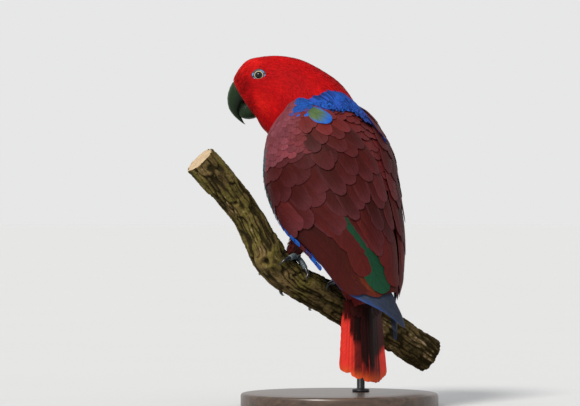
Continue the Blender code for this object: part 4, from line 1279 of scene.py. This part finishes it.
def make_curtain(side, rng, feather):
    """The breast feathers that lie over the front edge of a wing."""
    heights = np.linspace(104, -46, 14)
    front = down_wing(EDGES[side], heights)[:, 0]
    bottom = wing_point(side, heights, front + 3, arm_height(side, heights, front + 3) - 0.6)
    inner = wing_point(side, heights, front + 2, -5.0)
    degrees = np.linspace(45, 145, 200)
    t, angle = np.meshgrid(np.linspace(4.0, 12, 240), np.radians(degrees) * SIDES[side], indexing="ij")
    body = coat_point(t, angle, 0.0)
    nearest = [np.argmin(np.linalg.norm(body - point, axis=-1)) for point in inner]
    row, turn = t.ravel()[nearest], angle.ravel()[nearest]
    top = coat_point(row, turn + math.radians(7) * SIDES[side], 0.0)

    def outward(mid):
        away = mid - TRUNK
        return away - (away @ ALONG)[:, None] * ALONG

    def breast(k):
        at, by = smooth_rows(row[:, None], k)[:, 0], smooth_rows(turn[:, None], k)[:, 0]
        tint = body_tint(at, by, coat_point(at, by, 0.0)) * rng.uniform(0.8, 1.05, (len(k), 1))
        return 5.0, tint, (13, 18)

    name = f"breast_side_{side}"
    piece = make_bridge(name, top, bottom, 1.3, outward, 420, breast, 0.25, rng, feather, bulge=0.4)
    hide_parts("torso")


def make_tail(rng, feather):
    """Twelve tail feathers laid out like a low roof, with their coverts above and below."""
    down, left, back = tail_axes()
    span = np.linalg.norm(TAIL_END - TAIL_TOP)

    def batch(name, share, spreads, begin, end, width, low, high, colours, rows, tipped, shade=0.0):
        n = len(share)
        centre, begin, end, low, high = columns_of(n, share, begin, end, low, high)

        def place(s, across, over):
            middle = centre * (spreads[0] + (spreads[1] - spreads[0]) * s**1.3)
            out = middle + across + 1.5 - 3.0 * s
            fall = 2.5 - TAIL_SLOPE * np.sqrt(out * out + 9)
            lift = low + (high - low) * s + fall + over - np.sign(centre) * across / width
            along = begin + (end - begin) * s
            return TAIL_TOP + down * along[..., None] + left * out[..., None] + back * lift[..., None]

        inner = 1 - np.abs(share)
        # Each feather is dark from its root to where it turns red: the tail's dark base together with a
        # painted shadow of the wings and body, reaching lower on the bird's right.
        light_from = np.where(share < 0, 0.68 + 0.08 * inner, 0.26 + 0.66 * inner)
        shades = {"tip_from": 0.86, "shade": shade, "shade_to": light_from, "shade_from": light_from - 0.09}
        vary = rng.uniform(0.88, 1.08, (n, 1))
        wide = width * rng.uniform(0.96, 1.04, n)
        long = (end - begin)[:, 0, 0]
        look = look_of(wide, long, np.full(n, 0.3), 1.3, 0.4, tipped, colours, vary, **shades)
        return vanes(name, place, look, rows, feather, rng)

    share = TAIL_SHARES
    end = span - TAIL_CURVE * share**2 - TAIL_SLANT * share + rng.uniform(-1, 1, len(share))
    centre = 1 - np.abs(share)
    # The middle feathers and their edges are darker: dark feathers deepened by painted shadow.
    middle = blend(TAIL_RED, TAIL_DARK_AND_SHADOW, ease(centre, 0.25, 0.5) * 0.9)
    edge = blend(blend(TAIL_RED, ORANGE, 0.1 + 0 * share), TAIL_DARK_AND_SHADOW, ease(centre, 0.5, 0.9) * 0.6)
    tip = blend(TAIL_RED, ORANGE, 0.6 + 0 * share)
    over = 0.2 + 4.0 * centre
    # How dark the roots are: the dark base with painted shadow over it.
    shade = 0.95 - 0.03 * centre
    colours = (middle, edge, tip)
    pieces = [
        batch("tail_feathers", share, (22, 29.5), 2.0, end, 13.0, over, over, colours, 30, 0.85, shade),
    ]
    few = np.linspace(-1, 1, 8)
    # The coverts over and under the tail are near black: dark feathers with painted shade.
    dark = blend(TAIL_DARK_AND_SHADOW, DARK, 0.6 + 0 * few) * 0.6
    under = blend(VENT_AND_SHADE, DARK, 0.3 + 0 * few)
    coverts = (
        ("tail_coverts_long", few, (16, 20), -2.0, 24 - 6 * np.abs(few), 9, 1.6, 3.6, dark, 14),
        ("tail_coverts", few * 0.9, (15, 17), -12.0, 12 - 4 * np.abs(few), 8, 2.4, 5.0, dark, 12),
        ("tail_coverts_under", few, (7, 13), -8.0, 44 - 12 * few**2, 11, -9.0, -6.5, under, 14),
    )
    for *lie, tint, rows in coverts:
        pieces.append(batch(*lie, (tint, tint, tint), rows, 0.3))
    for piece in pieces:
        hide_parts("tail")


def make_thighs(rng, feather):
    """The short dark feathers of the thighs, with pale strands where they end over the feet."""
    for name in SIDES:
        ankle, hip = leg_points(name)
        long = np.linalg.norm(ankle - hip)
        axis = (ankle - hip) / long
        across = unit(np.cross(axis, UP))
        upright = np.cross(axis, across)

        def surface(u, v, over, hip=hip, long=long, axis=axis, across=across, upright=upright):
            u, v, over = np.broadcast_arrays(*(np.asarray(w, float) for w in (u, v, over)))
            girth = np.interp(u, THIGH_SHARES, THIGH_RADII) + over
            out = across * np.cos(v)[..., None] + upright * np.sin(v)[..., None]
            return hip + axis * (u * long)[..., None] + out * girth[..., None]

        u, v = scatter(surface, (-0.25, 1.02), (-math.pi, math.pi), 2.5, rng)
        n = len(u)
        tint = blend(DARK, MAROON, rng.uniform(0, 0.6, n)) * 0.9
        tint = blend(tint, STRAND, (u > 0.93) * (rng.uniform(0, 1, n) < 0.35) * 0.8)
        length = rng.uniform(7, 11, n)
        place = (0.01 + 0.98 * (v + math.pi) / (2 * math.pi), 0.01 + 0.9 * np.clip((u + 0.3) / 1.4, 0, 1))
        heading = rng.normal(0, 0.15, n)
        tips = rng.uniform(-0.2, 0.8, n)
        coat(f"coat_thigh_{name}", surface, u, v, length, 3.4, heading, np.full(n, -2.5), tips, tint, feather,
             rng, place)


def make_bill(horn):
    """The hooked upper half with its cutting edge, and the lower half closed against it."""
    rows, angle = 46, turns(44)
    cos, sin = np.cos(angle), np.sin(angle)
    along = np.sign(cos) * np.abs(cos) ** 0.92
    wide = np.sign(sin) * np.abs(sin) ** 0.86
    for name, table, node in (("bill_top", UPPER_BILL, "bill_upper"), ("bill_low", LOWER_BILL, "bill_lower")):
        upper = name == "bill_top"
        fine = smooth_rows(table, np.linspace(0, len(table) - 1, rows))
        rings, tints = [], []
        for k, (ridge_x, ridge_z, edge_x, edge_z, half) in enumerate(fine):
            top = BILL_BASE + HEAD_FORWARD * ridge_x + UP * ridge_z
            low = BILL_BASE + HEAD_FORWARD * edge_x + UP * edge_z
            reach = (top - low) / 2
            long = max(np.linalg.norm(reach), 0.05)
            grow = 1 + 0.012 * np.sin(k * 1.9 + cos * 2)
            middle = (top + low) / 2
            out = reach / long
            across = HEAD_LEFT * (wide * half * grow)[:, None]
            rings.append(middle + out * (along * long * grow)[:, None] + across)
            # The bill is lighter towards its ridge, a painted sheen, and darker towards its cutting edge.
            colour = blend(BILL_BLACK_REFLECTING_GREEN, BILL_RIDGE_SHEEN, ease(cos, 0.35, 0.95) * 0.8 * upper)
            colour = blend(colour, BILL_EDGE, ease(-cos, -0.2, 0.7) * 0.8)
            # A pale line along the upper half's edge near the gape: a painted highlight.
            gape_highlight = ease(-cos, 0.86, 0.99) * ease(k / rows, 0.1, 0.25) * (1 - ease(k / rows, 0.4, 0.55)) * upper
            tints.append(blend(colour, BILL_GAPE_HIGHLIGHT, gape_highlight * 0.7))
        piece = sheet_of(name, rings, horn, np.array(tints))
        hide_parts(node)


def lathe(middle, axis, profile, steps, wave=None, wide=1.05, tall=0.95):
    """Rings of points round an axis, for each radius and height of a profile, and their angles."""
    side = unit(np.cross(axis, UP))
    up = np.cross(side, axis)
    angle = turns(steps)
    rings = []
    for k, (radius, height) in enumerate(profile):
        grown = radius * (1 + (wave(k, angle) if wave else 0 * angle))
        out = side * (np.cos(angle) * grown)[:, None] * wide + up * (np.sin(angle) * grown)[:, None] * tall
        rings.append(middle + out + axis * height)
    return np.array(rings), angle


def lid_wave(k, angle):
    """The fine folds of the lid, and the points at its two corners."""
    corner = 0.02 * k * np.abs(np.cos(angle)) ** 6 if 2 < k < 11 else 0 * angle
    return 0.012 * np.sin(angle * 26 + k) + 0.008 * np.sin(angle * 11 + 2 * k) + corner


def make_eyes(glass, bare):
    """Each eye with a cornea, pupil and pale iris, in a ring of folded skin."""
    tilt = np.linspace(0.02, math.pi - 0.05, 44)
    bulge = 0.55 * np.exp(-((tilt / 0.42) ** 2))
    ball = np.stack([EYE_RADIUS * np.sin(tilt), EYE_RADIUS * np.cos(tilt) + bulge], -1)
    for name, side in SIDES.items():
        axis, middle = HEAD_LEFT * side, eye_middle(side)
        rings, angle = lathe(middle, axis, ball, 48)
        radius = ball[:, :1] * np.ones((1, 48))
        fleck = 0.9 + 0.1 * np.sin(angle * 23) * np.sin(angle * 9 + 1)
        colour = blend(PUPIL, IRIS_BROWN, ease(radius, 3.5, 3.7))
        colour = blend(colour, IRIS_CREAM, ease(radius, 3.7, 3.9)) * fleck[None, :, None]
        colour = blend(colour, EYE_RIM, ease(radius, 4.4, 4.55))
        colour = np.where(ball[:, 1, None, None] > 0, colour, PUPIL)
        piece = sheet_of(f"eyeball_{name}", rings, glass, colour)
        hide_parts(f"eye_{name}")
        rings, angle = lathe(middle, axis, LID, 120, lid_wave)
        k = np.arange(len(LID))[:, None] * np.ones((1, 120))
        broken = np.cos(angle * side + 0.5) + 0.35 * np.sin(angle * 5) + 0.25 * np.sin(angle * 9 + 1)
        pale = ease(k, 3.5, 4.5) * ease(k, 8.0, 6.5) * ease(np.abs(broken), 0.55, 0.95)[None]
        colour = blend(blend(LID_DARK, LID_PALE, pale), DEEP_RED * 0.4, ease(k, 8.0, 9.5))
        piece = sheet_of(f"eye_ring_{name}", rings, bare, colour)
        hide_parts(f"eyelid_{name}")


def make_feet(scaly, horn):
    """Feet with ringed scutes round the branch, and smooth curved claws."""
    for name, side in SIDES.items():
        station, (ankle, _) = LEGS[name][0], leg_points(name)
        top = branch_point(station, np.array(0.0), np.array(GAP + FOOT_LIFT))
        shin = [top + (ankle - top) * s for s in np.linspace(-0.05, 1.25, 26)]
        groups = [tube_rings(shin, np.linspace(*SHIN_RADII, 26), 20)]
        for toe, (end, tip, spread, radius) in TOES.items():
            sunk = TOE_SUNK if end > 0 else -TOE_SUNK
            way = np.linspace(0, 1, 64)
            girth = radius * (1.08 - 0.26 * way)
            path = toe_path(station, -sunk, end, spread * side, end, girth + GAP)
            ringed = girth * (1 + 0.10 * np.sqrt(np.clip(1 - way * TOE_SCUTES % 1.0, 0, 1)) - 0.05)
            ringed[-6:] *= np.linspace(1, 0.72, 6)
            groups.append(tube_rings(path, ringed, 18))
            way = np.linspace(0, 1, 24)
            knots = np.linspace(0, 1, len(CLAW_OVER))
            over = np.interp(way, knots, CLAW_OVER) * radius + GAP
            thin = np.interp(way, knots, CLAW_GIRTHS) * radius
            path = toe_path(station, end - sunk, tip, spread * side, end, over)
            rings = tube_rings(path, thin * 1.04, 16)
            piece = sheet_of(f"talon_{name}_{toe}", rings, horn, CLAW + 0 * rings)
            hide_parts(f"claw_{name}_{toe}")
        verts, quads, tris, tints, start = [], [], [], [], 0
        for rings in groups:
            rows, sides = rings.shape[:2]
            grid, _, faces = ring_quads(rows, sides, start)
            verts.append(flat(rings))
            quads.append(faces)
            for ring in (grid[0, ::-1], grid[-1]):
                tris += [(ring[0], ring[j], ring[j + 1]) for j in range(1, sides - 1)]
            way = np.linspace(0, 1, rows)[:, None] * np.ones((1, sides))
            dark = 0.5 + 0.5 * np.cos(way * TOE_SCUTES * 2 * math.pi)
            tints.append(flat(blend(SCUTE, SCUTE_DARK, dark * 0.7)))
            start += rows * sides
        piece = build(f"grip_{name}", np.concatenate(verts), np.concatenate(quads), np.array(tris), scaly,
                      tint=np.concatenate(tints))
        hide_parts(f"foot_{name}")


def make_branch(bark, wood):
    """The branch with fissured bark, knots and two sawn ends."""
    rows, sides = 420, 168
    t = np.linspace(0, len(BRANCH) - 1, rows)[:, None] * np.ones((1, sides))
    turn = turns(sides)[None] * np.ones((rows, 1))
    bare = branch_point(t, turn, np.zeros_like(t))
    middle, along, _, _, radius = branch_frame(t)
    run = np.concatenate([[0], np.cumsum(np.linalg.norm(np.diff(middle[:, 0], axis=0), axis=1))])[:, None]
    twist = turn + run * 0.004
    grain = np.stack([run * 0.17 + 0 * turn, np.cos(twist) * 17, np.sin(twist) * 17], -1)
    crack = 1 - np.abs(noise(grain + noise(bare, 9.0, 8)[..., None] * 1.6, 3.4, 9))
    small = 1 - np.abs(noise(grain * [1.6, 1, 1], 1.7, 10))
    lumps = noise(bare, 16.0, 11) * 0.9 + noise(bare, 6.0, 12) * 0.45
    over = 0.6 + lumps - CRACK_DEPTH * ease(crack, 0.62, 1.0) - SMALL_CRACK_DEPTH * ease(small, 0.6, 1.0)
    over += 0.25 * noise(bare, 1.3, 13)
    for (x, z), size, rise in KNOTS:
        near = np.hypot(bare[..., 0] - x, bare[..., 2] - z) / size
        near = np.where(bare[..., 1] < middle[..., 1], near * (1 + 0.3 * noise(bare, 5.0, 20)), 9.0)
        over += rise * np.exp(-((near - 0.55) ** 2) * 5.0) - rise * 0.8 * np.exp(-((near / 0.35) ** 2))
    out = (bare - middle) / radius[..., None]
    rings = bare + out * np.clip(over, *BARK_RANGE)[..., None]
    # The bark darkens into its cracks by depth: the fissures' own dark colour and painted shade in them.
    flake_out_of_shade = ease(over, -0.9, 1.5)
    # Pale patches grow towards the branch's low end, partly painted light on that end.
    patch = ease(noise(bare, 22.0, 14), -0.2, 0.5) * (0.4 + 0.6 * ease(bare[..., 0], 0, 50))
    fleck = ease(noise(grain * [2.2, 1, 1], 1.3, 22) + 0.5 * patch, 0.35, 0.9)
    moss = ease(noise(bare, 14.0, 15), -0.2, 0.5) * (1 - ease(bare[..., 0], -10, 50))
    colour = blend(blend(CRACK_AND_SHADE, BROWN, flake_out_of_shade), MOSS, moss * 0.7 * flake_out_of_shade)
    # Tan flecks on the raised bark: pale flakes of the bark, with painted highlights on the ridges and more
    # painted light towards the low end.
    pale = 0.35 + 0.45 * patch + 0.2 * ease(bare[..., 0], 30, 70)
    colour = blend(colour, TAN, fleck * ease(over, 0.2, 1.2) * pale)
    inset = np.clip(1 - np.minimum(run, run[-1] - run) / 0.8, 0, 1) ** 2
    rings = rings - out * (inset * 0.7)[..., None]
    piece = sheet_of("bark", rings, bark, colour)
    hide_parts("perch_branch")
    for end, row, sign in (("high", 0, -1.0), ("low", -1, 1.0)):
        rim = rings[row]
        centre = rim.mean(0)
        outward = along[row, 0] * sign
        disc = [rim - outward * 0.5]
        disc += [
            centre + (rim - centre) * s + outward * (0.12 if s < 0.98 else 0.02)
            for s in (0.985, 0.93, 0.86, 0.7, 0.5, 0.3, 0.12, 0.02)
        ]
        face = sheet_of(f"sawn_{end}", disc, wood, SAWN + 0 * np.array(disc))
        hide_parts("perch_branch")


def circles(x, y, outline, steps):
    """Level rings round an upright axis, for each radius and height of an outline."""
    cos, sin = np.cos(turns(steps)), np.sin(turns(steps))
    return [np.stack([x + cos * r, y + sin * r, np.full(steps, z)], -1) for r, z in outline]


def make_stand(timber, steel):
    """The base, turned with a soft edge, and the rod with a collar at its foot."""
    piece = sheet_of("base", circles(0.0, 0.0, BASE_OUTLINE, 160), timber)
    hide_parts("stand_base")
    low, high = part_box("stand_rod")
    x, y = (low.x + high.x) / 2 / MM, (low.y + high.y) / 2 / MM
    outline = [*ROD_OUTLINE, (ROD_RADIUS, high.z / MM + ROD_SUNK)]
    piece = sheet_of("rod", circles(x, y, outline, 48), steel)
    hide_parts("stand_rod")


def make_stage():
    """A plain pale floor, soft light from all round, and the camera at the photograph's viewing angle."""
    bpy.ops.mesh.primitive_plane_add(size=60)
    floor = bpy.context.object
    floor.name = "floor"
    stops = [(0.3, (0.506, 0.513, 0.520)), (0.7, (0.512, 0.519, 0.526))]
    floor.data.materials.append(speckled("pale_floor", 0.85, 3.0, stops, 0.0, 0.0, 2.0, 0.5))
    bpy.context.scene.view_settings.view_transform = "Standard"
    world = bpy.data.worlds.new("studio")
    bpy.context.scene.world = world
    world.use_nodes = True
    world.node_tree.nodes["Background"].inputs[0].default_value = (0.985, 0.985, 0.99, 1)
    world.node_tree.nodes["Background"].inputs[1].default_value = 0.81
    lamp = bpy.data.lights.new("key", "SUN")
    lamp.angle = math.radians(14)
    lamp.energy = 3.4
    lamp.color = (1.0, 0.97, 0.92)
    link("key", lamp).rotation_euler = Vector((0.62, 1.0, -1.05)).to_track_quat("-Z", "Y").to_euler()
    lens = bpy.data.cameras.new("camera")
    lens.sensor_width = SENSOR
    lens.lens = LENS
    lens.clip_start = 0.05
    eye = link("camera", lens)
    eye.location = CAMERA
    eye.rotation_euler = (math.radians(90), 0, 0)
    bpy.context.scene.camera = eye


def main():
    rng = np.random.default_rng(SEED)
    make_stage()
    make_skin(tinted("skin", 0.7, 3.0, 0.4, 0.4))
    fine = plumage("fine_feathers", 0.7, 0.9, 2.2, 0.3, 0.15, 0.02, (1.0, 0.2, 0.2), 0.0, 0.06, (0.12, 1.6))
    body = plumage("body_feathers", 0.6, 0.9, 3.0, 0.3, 0.5, 0.05, (0.8, 0.5, 0.9), 0.0, 0.15)
    flight = plumage("flight_feathers", 0.6, 0.55, 2.4, 0.24, 0.5, 0.012, (0.9, 0.55, 0.7), 0.4, 0.09)
    make_coat(rng, fine)
    for side in SIDES:
        make_wing(side, rng, flight)
    make_specials(rng, flight)
    make_mantle(rng, flight)
    make_band(rng, fine)
    for side in SIDES:
        make_curtain(side, rng, fine)
    make_tail(rng, flight)
    make_thighs(rng, body)
    make_bill(tinted("horn", 0.34, 1.6, 0.35, 0.12, 0.0002, Specular_IOR_Level=0.15))
    make_eyes(
        tinted("eye", 0.12, 0.4, 0.12, 0.0, Specular_IOR_Level=0.3),
        tinted("bare_skin", 0.5, 0.5, 0.4, 0.5, 0.0002),
    )
    make_feet(
        tinted("foot_skin", 0.55, 0.9, 0.45, 0.6, 0.0003),
        tinted("claw_horn", 0.3, 1.2, 0.3, 0.1, 0.0001, Coat_Weight=0.2, Coat_Roughness=0.2),
    )
    make_branch(
        tinted("bark", 0.9, 1.1, 0.5, 0.8, 0.0006, Specular_IOR_Level=0.1),
        speckled("sawn_wood", 0.7, 260.0, [(0.3, 0.62), (0.7, 1.0)], 0.4, 0.0003, 5.0, 0.5, tinted=True),
    )
    stops = [(0.3, (0.022, 0.012, 0.007)), (0.55, (0.06, 0.034, 0.02)), (0.75, (0.10, 0.06, 0.035))]
    varnish = {"Coat_Weight": 0.25, "Coat_Roughness": 0.25}
    timber = speckled("stained_wood", 0.38, 3.0, stops, 0.15, 0.0003, 8.0, 0.65, (6.0, 70.0, 70.0), **varnish)
    stops = [(0.3, (0.012, 0.012, 0.013)), (0.7, (0.022, 0.022, 0.023))]
    make_stand(timber, speckled("black_steel", 0.4, 900.0, stops, 0.1, 0.0001, 4.0, 0.5, Metallic=0.6))


main()
